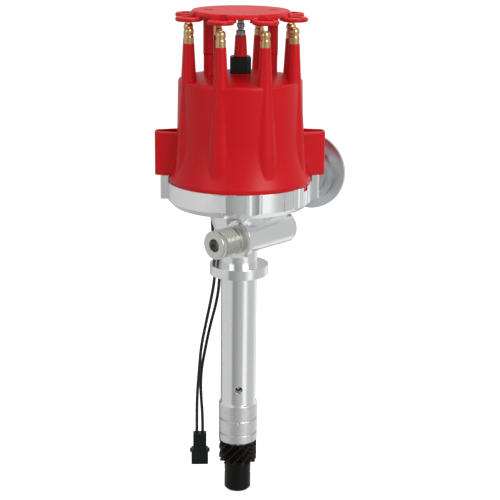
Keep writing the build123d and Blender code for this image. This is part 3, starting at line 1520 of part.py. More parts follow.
with BuildPart() as vacuum_bracket:
    bracket_end = canister_distance + front_face - seat_gap
    tab_top = 9.0
    with BuildSketch(Plane(rod_plane.origin, rod_plane.x_dir).offset(plate_bottom - rod_height + seat_gap)):
        with Locations(((bracket_reach + bracket_end) / 2, 0)):
            Rectangle(bracket_end - bracket_reach, bracket_width)
        with Locations(*bracket_holes):
            Circle(1.75, mode=Mode.SUBTRACT)
    extrude(amount=bracket_thickness)
    with BuildSketch(Plane(rod_plane.origin, rod_plane.x_dir).offset(plate_bottom - rod_height + seat_gap)):
        with Locations((bracket_end - bracket_thickness / 2, 0)):
            Rectangle(bracket_thickness, bracket_width)
    extrude(amount=rod_height - plate_bottom + tab_top)
    with BuildSketch(Plane(origin=(seam_x, seam_y, rod_height), z_dir=pull).offset(front_face - 4)):
        Circle(rod_hole_radius)
    extrude(amount=5, mode=Mode.SUBTRACT)
vacuum_bracket.part.label = "vacuum_bracket"
export_step(vacuum_bracket.part, "parts/vacuum_bracket.step")

with BuildPart() as bracket_screws:
    screw_level = plate_bottom - rod_height + bracket_thickness + 2 * seat_gap
    with BuildSketch(Plane(rod_plane.origin, rod_plane.x_dir).offset(screw_level)):
        with Locations(*bracket_holes):
            Circle(2.6)
    extrude(amount=1.3)
    with BuildSketch(Plane(rod_plane.origin, rod_plane.x_dir).offset(screw_level)):
        with Locations(*bracket_holes):
            Circle(1.55)
    extrude(amount=-7)
bracket_screws.part.label = "bracket_screws"
export_step(bracket_screws.part, "parts/bracket_screws.step")

rod_eye = -pin_circle * sin(radians(vacuum_swing / 2))
rod_far = canister_distance + diaphragm_rest - diaphragm_thickness - seat_gap
with BuildPart() as vacuum_rod:
    with BuildSketch(Plane(rod_plane.origin, rod_plane.x_dir).offset(-rod_thickness / 2)):
        with Locations(((rod_eye + rod_far) / 2, 0)):
            Rectangle(rod_far - rod_eye, rod_width)
        with Locations((rod_eye, 0)):
            Circle(rod_end_radius)
            Circle(pin_radius + 0.15, mode=Mode.SUBTRACT)
    extrude(amount=rod_thickness)
vacuum_rod.part.label = "vacuum_rod"
export_step(vacuum_rod.part, "parts/vacuum_rod.step")

seam_plane = Plane(origin=(seam_x, seam_y, rod_height), z_dir=pull)
with BuildPart() as vacuum_diaphragm:
    with BuildSketch(seam_plane.offset(diaphragm_rest)):
        Circle(diaphragm_radius)
    extrude(amount=-diaphragm_thickness)
    with BuildSketch(seam_plane.offset(diaphragm_rest)):
        Circle(vacuum_spring_radius + 2)
        Circle(vacuum_spring_radius + 1, mode=Mode.SUBTRACT)
    extrude(amount=2)
vacuum_diaphragm.part.label = "vacuum_diaphragm"
export_step(vacuum_diaphragm.part, "parts/vacuum_diaphragm.step")

with BuildPart() as vacuum_spring:
    spring_start = diaphragm_rest + vacuum_spring_wire
    spring_run = rear_shell_depth - canister_sheet - vacuum_spring_wire - spring_start
    coil_start = seam_plane.origin + Vector(*pull) * spring_start
    with BuildLine() as vacuum_coil:
        Helix(
            pitch=spring_run / vacuum_spring_turns,
            height=spring_run,
            radius=vacuum_spring_radius - vacuum_spring_wire / 2,
            center=coil_start,
            direction=pull,
        )
    with BuildSketch(Plane(origin=vacuum_coil.line @ 0, z_dir=vacuum_coil.line % 0)):
        Rectangle(vacuum_spring_wire, vacuum_spring_wire)
    sweep(path=vacuum_coil.line, is_frenet=True)
vacuum_spring.part.label = "vacuum_spring"
export_step(vacuum_spring.part, "parts/vacuum_spring.step")

# ======================================================================= pickup lead
nose_bottom = bowl_bottom - grommet_flange_thickness - grommet_drop
with BuildPart() as lead_grommet:
    with BuildSketch(Plane.XY.offset(bowl_bottom - seat_gap)):
        with Locations(grommet_position):
            Circle(grommet_flange_radius)
    extrude(amount=-grommet_flange_thickness)
    with BuildSketch(Plane.XY.offset(bowl_bottom - grommet_flange_thickness)):
        with Locations(grommet_position):
            Circle(grommet_flange_radius - 1.4)
    extrude(amount=-grommet_drop, taper=6)
    with BuildSketch(Plane.XY.offset(bowl_bottom - 1)):
        with Locations(grommet_position):
            Circle(grommet_radius - seat_gap)
    extrude(amount=bowl_floor - bowl_bottom + 1.5)
    with BuildSketch(Plane.XY.offset(bowl_floor + seat_gap)):
        with Locations(grommet_position):
            Circle(grommet_flange_radius)
    extrude(amount=1.5)
lead_grommet.part.label = "lead_grommet"
export_step(lead_grommet.part, "parts/lead_grommet.step")

# The two wires leave the grommet straight down, pass behind the flange and hang beside
# the shank to the connector.
left_route = [
    (-21.8, 31.4, nose_bottom),
    (-21.8, 31.4, 40.5),
    (-20.6, 27.0, 22.5),
    (-18.9, 23.2, 4.0),
    (-19.6, 21.2, -13.0),
    (-22.8, 20.6, -31.0),
    (-26.9, 19.6, -50.5),
    (-31.0, 18.8, -71.0),
    (-32.7, 17.9, -92.0),
    (-34.4, 17.0, -113.5),
    (-34.7, 17.2, -132.5),
    (-34.7, 17.2, connector_top),
]
right_route = [
    (-18.2, 31.4, nose_bottom),
    (-18.2, 31.4, 39.0),
    (-16.9, 27.2, 20.5),
    (-15.6, 23.6, 2.5),
    (-15.4, 21.8, -15.5),
    (-18.0, 21.6, -33.0),
    (-23.4, 22.5, -54.0),
    (-27.6, 22.3, -75.5),
    (-31.0, 21.5, -94.5),
    (-31.3, 20.3, -114.0),
    (-29.7, 17.2, -133.0),
    (-29.7, 17.2, connector_top),
]
for wire_name, route in (("lead_wire_left", left_route), ("lead_wire_right", right_route)):
    bends = []
    for before, corner, after in zip(route, route[1:], route[2:]):
        arriving = Vector(*corner) - Vector(*before)
        leaving = Vector(*after) - Vector(*corner)
        half_turn = radians(arriving.get_angle(leaving)) / 2
        bends.append(0.45 * min(arriving.length, leaving.length) / tan(half_turn))
    print(wire_name, "bend radii", [round(bend) for bend in bends])
    with BuildPart() as lead_wire:
        with BuildLine() as wire_path:
            FilletPolyline(*route, radius=bends)
        with BuildSketch(Plane(origin=wire_path.line @ 0, z_dir=wire_path.line % 0)):
            Circle(wire_radius)
        sweep(path=wire_path.line)
    wire_length = sum(edge.length for edge in wire_path.edges())
    print(wire_name, "length", wire_length, "volume", lead_wire.part.volume)
    lead_wire.part.label = wire_name
    export_step(lead_wire.part, f"parts/{wire_name}.step")

with BuildPart() as connector_housing:
    skirt_top = connector_top - connector_body_size[2]
    skirt_bottom = skirt_top - connector_skirt_size[2]
    with BuildSketch(Plane.XY.offset(connector_top)):
        with Locations(connector_position):
            RectangleRounded(connector_body_size[0], connector_body_size[1], 1.2)
    extrude(amount=-connector_body_size[2])
    with BuildSketch(Plane.XY.offset(skirt_top)):
        with Locations(connector_position):
            RectangleRounded(connector_skirt_size[0], connector_skirt_size[1], 1.2)
    extrude(amount=-connector_skirt_size[2])
    with BuildSketch(Plane.XY.offset(skirt_bottom)):
        with Locations(connector_position):
            Rectangle(
                connector_skirt_size[0] - 2 * connector_wall, connector_skirt_size[1] - 2 * connector_wall
            )
    extrude(amount=connector_socket_depth, mode=Mode.SUBTRACT)
    # latch tabs at the sides of the skirt
    with BuildSketch(Plane.XY.offset(skirt_top)):
        with Locations(connector_position):
            Rectangle(connector_skirt_size[0] + 2.6, 3.0)
            Rectangle(connector_skirt_size[0] - 1, 3.0, mode=Mode.SUBTRACT)
    extrude(amount=-3)
connector_housing.part.label = "connector_housing"
export_step(connector_housing.part, "parts/connector_housing.step")

with BuildPart() as connector_pins:
    socket_end = skirt_bottom + connector_socket_depth
    with BuildSketch(Plane.XY.offset(socket_end - seat_gap)):
        with Locations(connector_position):
            with GridLocations(connector_pin_spacing, 1, 2, 1):
                Circle(connector_pin_radius)
    extrude(amount=-connector_pin_length)
connector_pins.part.label = "connector_pins"
export_step(connector_pins.part, "parts/connector_pins.step")
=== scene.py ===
import math

import bpy
from mathutils import Matrix, Vector


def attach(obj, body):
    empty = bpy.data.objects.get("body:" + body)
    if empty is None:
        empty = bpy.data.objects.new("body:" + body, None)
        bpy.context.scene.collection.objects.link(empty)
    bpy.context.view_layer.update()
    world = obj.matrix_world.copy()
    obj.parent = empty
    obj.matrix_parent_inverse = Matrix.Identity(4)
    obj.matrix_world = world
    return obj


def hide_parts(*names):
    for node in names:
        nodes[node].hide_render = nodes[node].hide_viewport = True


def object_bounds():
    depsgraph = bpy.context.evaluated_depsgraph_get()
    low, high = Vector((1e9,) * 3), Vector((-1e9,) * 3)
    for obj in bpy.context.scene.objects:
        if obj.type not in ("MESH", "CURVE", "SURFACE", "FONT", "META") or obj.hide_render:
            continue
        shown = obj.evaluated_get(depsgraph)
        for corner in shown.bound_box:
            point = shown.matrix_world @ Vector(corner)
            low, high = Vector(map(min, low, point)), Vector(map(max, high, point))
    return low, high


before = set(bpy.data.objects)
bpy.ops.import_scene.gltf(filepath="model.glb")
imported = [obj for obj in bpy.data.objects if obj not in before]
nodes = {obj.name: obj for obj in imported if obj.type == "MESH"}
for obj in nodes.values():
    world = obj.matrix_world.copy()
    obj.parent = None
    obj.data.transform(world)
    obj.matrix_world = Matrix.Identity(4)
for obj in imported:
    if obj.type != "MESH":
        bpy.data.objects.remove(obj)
cad_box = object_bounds()
bpy.ops.object.select_all(action="DESELECT")

# ---- Studio ----
# A camera with a long lens stands in front, a little above the cap, and looks down. Pale
# walls all round give the metal something to mirror, a white floor lies just under the
# gear, and three soft lamps light the part. The view is Standard, with no look of its own.
scene = bpy.context.scene
scene.view_settings.view_transform = "Standard"

camera_distance = 1.096
camera_height = 0.3252
camera_turn = math.radians(-2.546)
camera_yaw = math.radians(-0.468)
camera_pitch = math.radians(15.586)
camera_roll = math.radians(0.556)
bpy.ops.object.camera_add()
camera = bpy.context.object
camera.data.lens = 99.53
camera.data.sensor_width = 36
camera_place = Matrix.Rotation(camera_turn, 4, "Z") @ Vector((0, -camera_distance, camera_height))
camera_aim = (
    Matrix.Rotation(camera_turn + camera_yaw, 4, "Z")
    @ Matrix.Rotation(math.pi / 2 - camera_pitch, 4, "X")
    @ Matrix.Rotation(camera_roll, 4, "Z")
)
camera.matrix_world = Matrix.Translation(camera_place) @ camera_aim
scene.camera = camera


class Shade:
    """A socket of a material. Arithmetic on it adds Math nodes to the same material."""

    def __init__(self, tree, socket=None):
        self.tree = tree
        self.socket = socket

    def node(self, kind, settings=None, values=None, output=0):
        """Adds a node, sets its settings, then its inputs, and gives one of its outputs."""
        made = self.tree.nodes.new(kind)
        for name, setting in (settings or {}).items():
            if name == "stops":
                ramp = made.color_ramp
                while len(ramp.elements) < len(setting):
                    ramp.elements.new(1)
                for element, (place, grey) in zip(ramp.elements, setting):
                    element.position = place
                    element.color = (grey, grey, grey, 1)
            else:
                setattr(made, name, setting)
        self.fill(made, values or {})
        return Shade(self.tree, made.outputs[output])

    def fill(self, made, values):
        """Gives a node's inputs their values, or links them to what is already shaded."""
        for name, value in values.items():
            if isinstance(value, Shade):
                self.tree.links.new(value.socket, made.inputs[name])
            else:
                made.inputs[name].default_value = value

    def surface(self, values):
        """Sets inputs of the material's main shader."""
        self.fill(self.tree.nodes["Principled BSDF"], values)

    def work_out(self, operation, *values):
        """Adds one Math node with the values in its sockets."""
        return self.node("ShaderNodeMath", {"operation": operation}, dict(enumerate(values)))

    def __add__(self, other):
        return self.work_out("ADD", self, other)

    __radd__ = __add__

    def __mul__(self, other):
        return self.work_out("MULTIPLY", self, other)

    __rmul__ = __mul__


world = bpy.data.worlds.new("studio")
scene.world = world
world.use_nodes = True
sky = Shade(world.node_tree)
facing = sky.node("ShaderNodeTexCoord", output="Generated")
across = sky.node("ShaderNodeSeparateXYZ", values={0: facing}, output="X")
along = sky.node("ShaderNodeSeparateXYZ", values={0: facing}, output="Y")
bearing = sky.work_out("ARCTAN2", along, across) * (1 / (2 * math.pi)) + 0.5
# the grey of the walls that shiny metal mirrors, by the share of a turn: pale all round, a
# darker gap round the camera, a narrow bright panel on its right and a softer one farther on
walls = sky.node(
    "ShaderNodeValToRGB",
    {
        "stops": [
            (0.0, 0.66),
            (0.118, 0.65),
            (0.137, 0.32),
            (0.2, 0.36),
            (0.24, 0.47),
            (0.3, 0.52),
            (0.335, 0.8),
            (0.35, 1.06),
            (0.38, 1.06),
            (0.41, 0.66),
            (0.43, 0.58),
            (0.561, 0.64),
            (0.6, 0.9),
            (0.66, 0.95),
            (0.69, 0.5),
            (0.8, 0.52),
            (0.84, 0.42),
            (0.885, 0.66),
        ]
    },
    {0: bearing},
)
rays = sky.tree.nodes.new("ShaderNodeLightPath")
is_camera = Shade(sky.tree, rays.outputs["Is Camera Ray"])
is_glossy = Shade(sky.tree, rays.outputs["Is Glossy Ray"])
room_light = (0.52, 0.52, 0.53, 1)
white = (1, 1, 1, 1)
around = sky.node("ShaderNodeMix", {"data_type": "RGBA"}, {0: is_glossy, 6: room_light, 7: walls}, 2)
seen = sky.node("ShaderNodeMix", {"data_type": "RGBA"}, {0: is_camera, 6: around, 7: white}, 2)
sky.fill(world.node_tree.nodes["Background"], {"Color": seen, "Strength": 1.0})

# the floor: white to the camera, with the part's shadow on it, and clear to mirrored rays
floor_size = 9
floor_back = 1.5
floor_drop = 0.0006
floor_grey = (0.5, 0.5, 0.5, 1)
floor_glow = 0.86
bpy.ops.mesh.primitive_plane_add(size=floor_size, location=(0, floor_back, cad_box[0][2] - floor_drop))
floor = bpy.context.object
floor.name = "floor"
floor_material = bpy.data.materials.new("floor")
floor_material.use_nodes = True
paint = Shade(floor_material.node_tree)
paint.surface({"Base Color": floor_grey, "Roughness": 1.0, "Specular IOR Level": 0.0})
matt = Shade(paint.tree, paint.tree.nodes["Principled BSDF"].outputs[0])
floor_rays = paint.tree.nodes.new("ShaderNodeLightPath")
from_camera = Shade(paint.tree, floor_rays.outputs["Is Camera Ray"])
from_mirror = Shade(paint.tree, floor_rays.outputs["Is Glossy Ray"])
glow = paint.node("ShaderNodeEmission", values={"Color": white, "Strength": from_camera * floor_glow})
lit = paint.node("ShaderNodeAddShader", values={0: matt, 1: glow})
clear = paint.node("ShaderNodeBsdfTransparent")
mixed = paint.node("ShaderNodeMixShader", values={0: from_mirror, 1: lit, 2: clear})
paint.fill(paint.tree.nodes["Material Output"], {"Surface": mixed})
floor.data.materials.append(floor_material)

# lamps: a large soft one high on the right, a weaker one on the left, one from above
lamp_target = Vector((0, 0, 0.08))
for name, place, size, power in (
    ("right_lamp", (0.75, -0.95, 0.75), 0.7, 9.0),
    ("left_lamp", (-0.9, -0.8, 0.5), 0.7, 1.6),
    ("top_lamp", (0.0, 0.25, 1.2), 0.8, 7.0),
):
    bpy.ops.object.light_add(type="AREA", location=place)
    lamp = bpy.context.object
    lamp.name = name
    lamp.data.size = size
    lamp.data.energy = power
    lamp.rotation_euler = (lamp_target - Vector(place)).to_track_quat("-Z", "Y").to_euler()

# ---- Lead wires ----
# Two stranded wires in black insulation, side by side. They leave the bowl through the
# grommet behind the neck, hang beside the shank and end in the connector.


def start_material(name):
    """A new material, as the material and a Shade to build it with."""
    material = bpy.data.materials.new(name)
    material.use_nodes = True
    return material, Shade(material.node_tree)


def grain(shade, scale, detail=3.0, stretch=(1, 1, 1), roughness=0.55):
    """Noise over the piece; stretch multiplies the coordinates, so a small number smears."""
    spot = shade.node("ShaderNodeTexCoord", output="Object")
    spot = shade.node("ShaderNodeVectorMath", {"operation": "MULTIPLY"}, {0: spot, 1: stretch})
    noise = {"Vector": spot, "Scale": scale, "Detail": detail, "Roughness": roughness}
    return shade.node("ShaderNodeTexNoise", values=noise)


def tint(shade, mask, low, high):
    """Colour between low and high by the mask. Either may be a colour that is already shaded."""
    low, high = (end if isinstance(end, Shade) else (*end, 1) for end in (low, high))
    return shade.node("ShaderNodeMix", {"data_type": "RGBA"}, {0: mask, 6: low, 7: high}, 2)


def relief_normal(shade, height, strength, distance, below=None):
    """Normal of a fine relief, on the plain surface or on a normal that is already shaded."""
    relief = {"Height": height, "Strength": strength, "Distance": distance}
    if below:
        relief["Normal"] = below
    return shade.node("ShaderNodeBump", values=relief)


wire_cover, shade = start_material("wire_cover")
scuffs = grain(shade, 900)
shade.surface(
    {
        "Base Color": tint(shade, scuffs, (0.006, 0.006, 0.007), (0.016, 0.016, 0.017)),
        "Roughness": scuffs * 0.15 + 0.26,
        "Specular IOR Level": 0.35,
        "Normal": relief_normal(shade, scuffs, 0.15, 0.0001),
    }
)
wire_radius = 0.0013
left_length = 0.2036
right_length = 0.2039
# the routes from the grommet to the connector, in millimetres
left_route = [
    (-21.8, 31.4, 51.7),
    (-21.8, 31.4, 40.5),
    (-20.6, 27.0, 22.5),
    (-18.9, 23.2, 4.0),
    (-19.6, 21.2, -13.0),
    (-22.8, 20.6, -31.0),
    (-26.9, 19.6, -50.5),
    (-31.0, 18.8, -71.0),
    (-32.7, 17.9, -92.0),
    (-34.4, 17.0, -113.5),
    (-34.7, 17.2, -132.5),
    (-34.7, 17.2, -149.5),
]
right_route = [
    (-18.2, 31.4, 51.7),
    (-18.2, 31.4, 39.0),
    (-16.9, 27.2, 20.5),
    (-15.6, 23.6, 2.5),
    (-15.4, 21.8, -15.5),
    (-18.0, 21.6, -33.0),
    (-23.4, 22.5, -54.0),
    (-27.6, 22.3, -75.5),
    (-31.0, 21.5, -94.5),
    (-31.3, 20.3, -114.0),
    (-29.7, 17.2, -133.0),
    (-29.7, 17.2, -149.5),
]
for name, route, length in (
    ("lead_wire_left", left_route, left_length),
    ("lead_wire_right", right_route, right_length),
):
    curve = bpy.data.curves.new(name + "_cover", "CURVE")
    curve.dimensions = "3D"
    spline = curve.splines.new("NURBS")
    spline.points.add(len(route) - 1)
    for point, spot in zip(spline.points, route):
        point.co = (*(Vector(spot) / 1000), 1)
    spline.order_u = 3
    spline.use_endpoint_u = True
    spline.resolution_u = 10
    curve.bevel_depth = wire_radius
    curve.bevel_resolution = 5
    curve.use_fill_caps = True
    curve.materials.append(wire_cover)
    wire = bpy.data.objects.new(name + "_cover", curve)
    scene.collection.objects.link(wire)
    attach(wire, "root")
    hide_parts(name)

# ---- Housing ----
# One aluminium billet, turned bright all over, with fine rings left by the tool. The bands
# at the foot of the shank are rougher, with slanted scratches across them.
band_top = -0.1133
band_fade = 0.0008
scratch_slant = 0.85
scratch_depth = 7.0


def rough_edges(shade, height, strength, radius=0.0004, distance=0.0002):
    """Normal of a surface with softened edges and a fine relief."""
    soft = shade.node("ShaderNodeBevel", {"samples": 6}, {"Radius": radius})
    return relief_normal(shade, height, strength, distance, soft)


def dress(material, *names):
    """Gives CAD nodes a material."""
    for name in names:
        mesh = nodes[name].data
        mesh.materials.clear()
        mesh.materials.append(material)


billet, shade = start_material("billet")
spot = shade.node("ShaderNodeTexCoord", output="Object")
level = shade.node("ShaderNodeSeparateXYZ", values={0: spot}, output="Z")
rings = grain(shade, 1.0, 2, (60, 60, 4200))
marks = grain(shade, 420, 4)
slanted = shade.node("ShaderNodeMapping", values={"Vector": spot, "Rotation": (0.0, scratch_slant, 0.0)})
slanted = shade.node("ShaderNodeVectorMath", {"operation": "MULTIPLY"}, {0: slanted, 1: (180, 180, 1500)})
scratches = shade.node("ShaderNodeTexNoise", values={"Vector": slanted, "Scale": 1.0, "Detail": 3.0})
fade = {"Value": level, "From Min": band_top, "From Max": band_top - band_fade}
bands = shade.node("ShaderNodeMapRange", values=fade)
relief = rings * 0.3 + (scratches + marks * 0.7) * bands * scratch_depth
bright = tint(shade, marks, (0.80, 0.805, 0.81), (0.88, 0.885, 0.89))
bright = tint(shade, bands * scratches * 0.75, bright, (0.55, 0.55, 0.54))
shade.surface(
    {
        "Base Color": bright,
        "Metallic": 1.0,
        "Roughness": rings * 0.06 + bands * 0.12 + bands * marks * 0.2 + 0.15,
        "Normal": rough_edges(shade, relief, 0.12),
    }
)
dress(billet, "housing")

# ---- Cap, retainer and rotor ----
# The cap with its towers, the retainer screwed on its two posts and the rotor under it are
# moulded in one red thermoplastic, with a satin gloss and the faint ripple of the mould.
red_plastic, shade = start_material("red_plastic")
ripple = grain(shade, 180, 2)
grit = grain(shade, 2600, 2)
shade.surface(
    {
        "Base Color": tint(shade, ripple, (0.56, 0.002, 0.006), (0.62, 0.004, 0.009)),
        "Roughness": ripple * 0.08 + 0.30,
        "Specular IOR Level": 0.24,
        "Normal": rough_edges(shade, ripple * 0.7 + grit * 0.1, 0.1, 0.0018),
    }
)
dress(red_plastic, "cap", "wire_retainer", "rotor")

# ---- Plug terminals ----
# Turned brass studs, moulded into the towers, bright with a little tarnish. The blade of
# the rotor, the bushing of the advance stop and the pins of the connector are brass too.
brass, shade = start_material("brass")
tarnish = grain(shade, 420, 4)
turning = grain(shade, 1.0, 2, (80, 80, 5200))
shade.surface(
    {
        "Base Color": tint(shade, tarnish, (0.56, 0.34, 0.16), (0.70, 0.45, 0.23)),
        "Metallic": 1.0,
        "Roughness": turning * 0.08 + tarnish * 0.08 + 0.2,
    }
)
dress(brass, *[f"plug_terminal_{number}" for number in range(1, 9)])
dress(brass, "rotor_blade", "stop_bushing", "connector_pins")

# ---- Dark steel ----
# The coil terminal in the middle tower and the small hardened pieces: pins, screws, the
# trigger wheel and the driven gear. Their heat treatment leaves them dark and uneven.
dark_steel, shade = start_material("dark_steel")
bloom = grain(shade, 500, 3)
shade.surface(
    {
        "Base Color": tint(shade, bloom, (0.16, 0.17, 0.18), (0.36, 0.37, 0.38)),
        "Metallic": 1.0,
        "Roughness": bloom * 0.2 + 0.22,
        "Normal": rough_edges(shade, bloom, 0.08, 0.0003),
    }
)
dress(dark_steel, "coil_terminal", "gear_roll_pin", "retainer_screws", "cam_screw")
dress(dark_steel, "reluctor", "tach_driven_gear")

# ---- Black plastic ----
# The collar pushed over the coil tower, the connector of the lead and the pickup, moulded
# in black plastic, nearly matt. The carbon button in the cap is as black.
black_plastic, shade = start_material("black_plastic")
grit = grain(shade, 1500, 3)
shade.surface(
    {
        "Base Color": tint(shade, grit, (0.003, 0.005, 0.004), (0.007, 0.010, 0.008)),
        "Roughness": grit * 0.1 + 0.26,
        "Specular IOR Level": 0.25,
        "Normal": rough_edges(shade, grit, 0.06, 0.0012),
    }
)
dress(black_plastic, "vent_collar", "connector_housing", "pickup", "carbon_button")

# ---- Drive gear ----
# Cast iron, with helical teeth cut in it, blackened all over and with an oily sheen. It is
# pinned on the shaft.
black_iron, shade = start_material("black_iron")
cast = grain(shade, 700, 4)
shade.surface(
    {
        "Base Color": tint(shade, cast, (0.003, 0.003, 0.003), (0.014, 0.011, 0.009)),
        "Metallic": 0.5,
        "Specular IOR Level": 0.25,
        "Roughness": cast * 0.2 + 0.3,
        "Normal": rough_edges(shade, cast, 0.25, 0.0003),
    }
)
dress(black_iron, "drive_gear")

# ---- Zinc plated screws ----
# Steel screws and the nut of the advance stop, with a zinc coat that has a green cast. The
# tachometer fitting has the same coat.
zinc_steel, shade = start_material("zinc_steel")
bloom = grain(shade, 350, 4)
shade.surface(
    {
        "Base Color": tint(shade, bloom, (0.56, 0.57, 0.52), (0.76, 0.77, 0.71)),
        "Metallic": 1.0,
        "Roughness": bloom * 0.15 + 0.22,
    }
)
dress(zinc_steel, "cap_screws", "stop_nut", "rotor_screws", "pickup_screws", "bracket_screws")

# ---- Tachometer fitting ----
# The steel sleeve that holds the driven gear in the boss of the housing. It is turned from
# bar, with a thread for the nut of the cable, a plain rim and a socket in its face, so it
# is drawn out ring by ring. Its sizes are in millimetres, along the axis of the drive.
drive_middle = Vector((0.010607, -0.010607, 0.035))
drive_angle = math.radians(-135)
drive_way = Vector((math.cos(drive_angle), math.sin(drive_angle), 0))
fitting_back = 10.0
fitting_face = 46.0
gear_bore = 4.45
socket_floor = 37.0
socket_radius = 5.2
plug_radius = 10.55
collar_back = 22.03
collar_front = 25.4
neck_radius = 10.1
rim_back = 42.9
rim_radius = 11.6
thread_pitch = 1.41
thread_turns = 10
thread_start = 27.3
thread_root = 10.85
thread_crest = 11.5
# along the drive, and the radius there
fitting_profile = [
    (fitting_back, gear_bore),
    (fitting_back, plug_radius),
    (collar_back, plug_radius),
    (collar_back, rim_radius - 0.3),
    (collar_back + 0.3, rim_radius),
    (collar_front - 0.5, rim_radius),
    (collar_front, rim_radius - 0.4),
    (collar_front + 0.2, neck_radius),
    (thread_start - 0.4, neck_radius),
]
for turn in range(thread_turns):
    ridge = thread_start + turn * thread_pitch
    fitting_profile += [(ridge, thread_root), (ridge + 0.5, thread_crest)]
    fitting_profile += [(ridge + 0.75, thread_crest), (ridge + 1.25, thread_root)]
fitting_profile += [
    (rim_back - 1.0, neck_radius),
    (rim_back - 0.2, neck_radius),
    (rim_back, rim_radius - 0.3),
    (rim_back + 0.3, rim_radius),
    (fitting_face - 0.9, rim_radius),
    (fitting_face - 0.6, rim_radius - 0.3),
    (fitting_face - 0.6, rim_radius - 0.9),
    (fitting_face - 0.3, rim_radius - 1.0),
    (fitting_face, rim_radius - 1.3),
    (fitting_face, socket_radius + 0.3),
    (fitting_face - 0.3, socket_radius),
    (socket_floor, socket_radius),
    (socket_floor, gear_bore),
    (fitting_back, gear_bore),
]
ring_points = 96
weld = 0.000005
bpy.ops.object.select_all(action="DESELECT")
bpy.ops.mesh.primitive_circle_add(
    vertices=ring_points,
    radius=fitting_profile[0][1] / 1000,
    location=drive_middle + drive_way * fitting_profile[0][0] / 1000,
    rotation=drive_way.to_track_quat("Z", "Y").to_euler(),
)
fitting_body = bpy.context.object
fitting_body.name = "fitting_body"
bpy.ops.object.transform_apply(location=True, rotation=True, scale=True)
bpy.ops.object.mode_set(mode="EDIT")
bpy.ops.mesh.select_all(action="SELECT")
for (place, radius), (next_place, next_radius) in zip(fitting_profile, fitting_profile[1:]):
    step = drive_way * (next_place - place) / 1000
    growth = next_radius / radius
    bpy.ops.mesh.extrude_region_move(TRANSFORM_OT_translate={"value": step})
    bpy.ops.transform.resize(
        value=(growth, growth, growth), center_override=drive_middle + drive_way * next_place / 1000
    )
bpy.ops.mesh.select_all(action="SELECT")
bpy.ops.mesh.remove_doubles(threshold=weld)
bpy.ops.mesh.normals_make_consistent(inside=False)
bpy.ops.object.mode_set(mode="OBJECT")
bpy.ops.object.shade_smooth_by_angle(angle=math.radians(25))
fitting_body.data.materials.append(zinc_steel)
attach(fitting_body, "root")
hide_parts("tach_fitting")

# ---- Vacuum canister ----
# Two shells pressed from steel sheet and zinc plated bright, rolled together at the rim.
# Their bracket and the plate that carries the pickup are cut from the same sheet.
plated_sheet, shade = start_material("plated_sheet")
bloom = grain(shade, 160, 4)
shade.surface(
    {
        "Base Color": tint(shade, bloom, (0.60, 0.63, 0.65), (0.70, 0.72, 0.74)),
        "Metallic": 1.0,
        "Roughness": bloom * 0.12 + 0.26,
    }
)
dress(plated_sheet, "vacuum_front_shell", "vacuum_rear_shell", "vacuum_bracket", "pickup_plate")

# ---- Shaft and other bright steel ----
# The ground shaft and what sits on it: washer, gear of the tachometer drive, bearing
# races, sleeve, weights and their cam. With the springs and the rod, all are bare steel.
bright_steel, shade = start_material("bright_steel")
bloom = grain(shade, 300, 3)
shade.surface(
    {
        "Base Color": tint(shade, bloom, (0.50, 0.50, 0.51), (0.64, 0.64, 0.65)),
        "Metallic": 1.0,
        "Roughness": bloom * 0.15 + 0.2,
    }
)
dress(
    bright_steel,
    "shaft",
    "thrust_washer",
    "tach_drive_gear",
    "upper_bearing_inner",
    "upper_bearing_outer",
    "advance_sleeve",
    "advance_weight_1",
    "advance_weight_2",
    "advance_cam",
    "advance_springs",
    "plate_snap_ring",
    "vacuum_rod",
    "vacuum_spring",
    "button_spring",
)

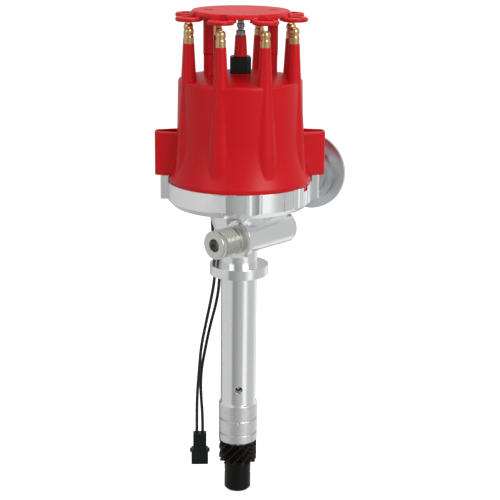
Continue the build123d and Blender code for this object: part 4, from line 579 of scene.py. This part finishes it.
# ---- Bushings ----
# The shaft turns in one bushing at the foot of the shank, the driven gear in another at
# the back of its boss. Both are sintered bronze, brown and a little porous, pressed in.
bronze, shade = start_material("bronze")
pores = grain(shade, 1200, 3)
shade.surface(
    {
        "Base Color": tint(shade, pores, (0.28, 0.17, 0.08), (0.45, 0.30, 0.15)),
        "Metallic": 1.0,
        "Roughness": pores * 0.2 + 0.4,
    }
)
dress(bronze, "lower_bushing", "tach_rear_bushing")

# ---- Rubber ----
# The grommet that the lead leaves the bowl by, and the diaphragm clamped in the rim of the
# canister. Both are black rubber, matt and a little dusty.
rubber, shade = start_material("rubber")
dust = grain(shade, 800, 3)
shade.surface(
    {
        "Base Color": tint(shade, dust, (0.012, 0.012, 0.012), (0.03, 0.03, 0.03)),
        "Roughness": dust * 0.2 + 0.55,
    }
)
dress(rubber, "lead_grommet", "vacuum_diaphragm")

# ---- Foil plate ----
# A thin bare strip of aluminium foil, stuck round the front left of the bowl in the groove
# between its two lands. It is laid out flat, rolled round the bowl and given its thickness.
foil, shade = start_material("foil")
wrinkle = grain(shade, 220, 3)
shade.surface(
    {
        "Base Color": tint(shade, wrinkle, (0.84, 0.84, 0.84), (0.92, 0.92, 0.92)),
        "Metallic": 0.6,
        "Roughness": wrinkle * 0.1 + 0.34,
        "Normal": relief_normal(shade, wrinkle, 0.1, 0.0002),
    }
)
foil_radius = 0.05853
foil_thickness = 0.00018
foil_start = math.radians(-172)
foil_sweep = math.radians(69)
foil_low = 0.0647
foil_high = 0.0782
foil_steps = 48
foil_rows = 6
bpy.ops.mesh.primitive_grid_add(x_subdivisions=foil_steps, y_subdivisions=foil_rows, size=1)
foil_plate = bpy.context.object
foil_plate.name = "foil_plate"
for vertex in foil_plate.data.vertices:
    angle = foil_start + (vertex.co.x + 0.5) * foil_sweep
    height = foil_low + (vertex.co.y + 0.5) * (foil_high - foil_low)
    vertex.co = (foil_radius * math.cos(angle), foil_radius * math.sin(angle), height)
thicken = foil_plate.modifiers.new("thickness", "SOLIDIFY")
thicken.thickness = foil_thickness
thicken.offset = 1
bpy.ops.object.modifier_apply(modifier="thickness")
bpy.ops.object.shade_smooth_by_angle(angle=math.radians(40))
foil_plate.data.materials.append(foil)
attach(foil_plate, "root")
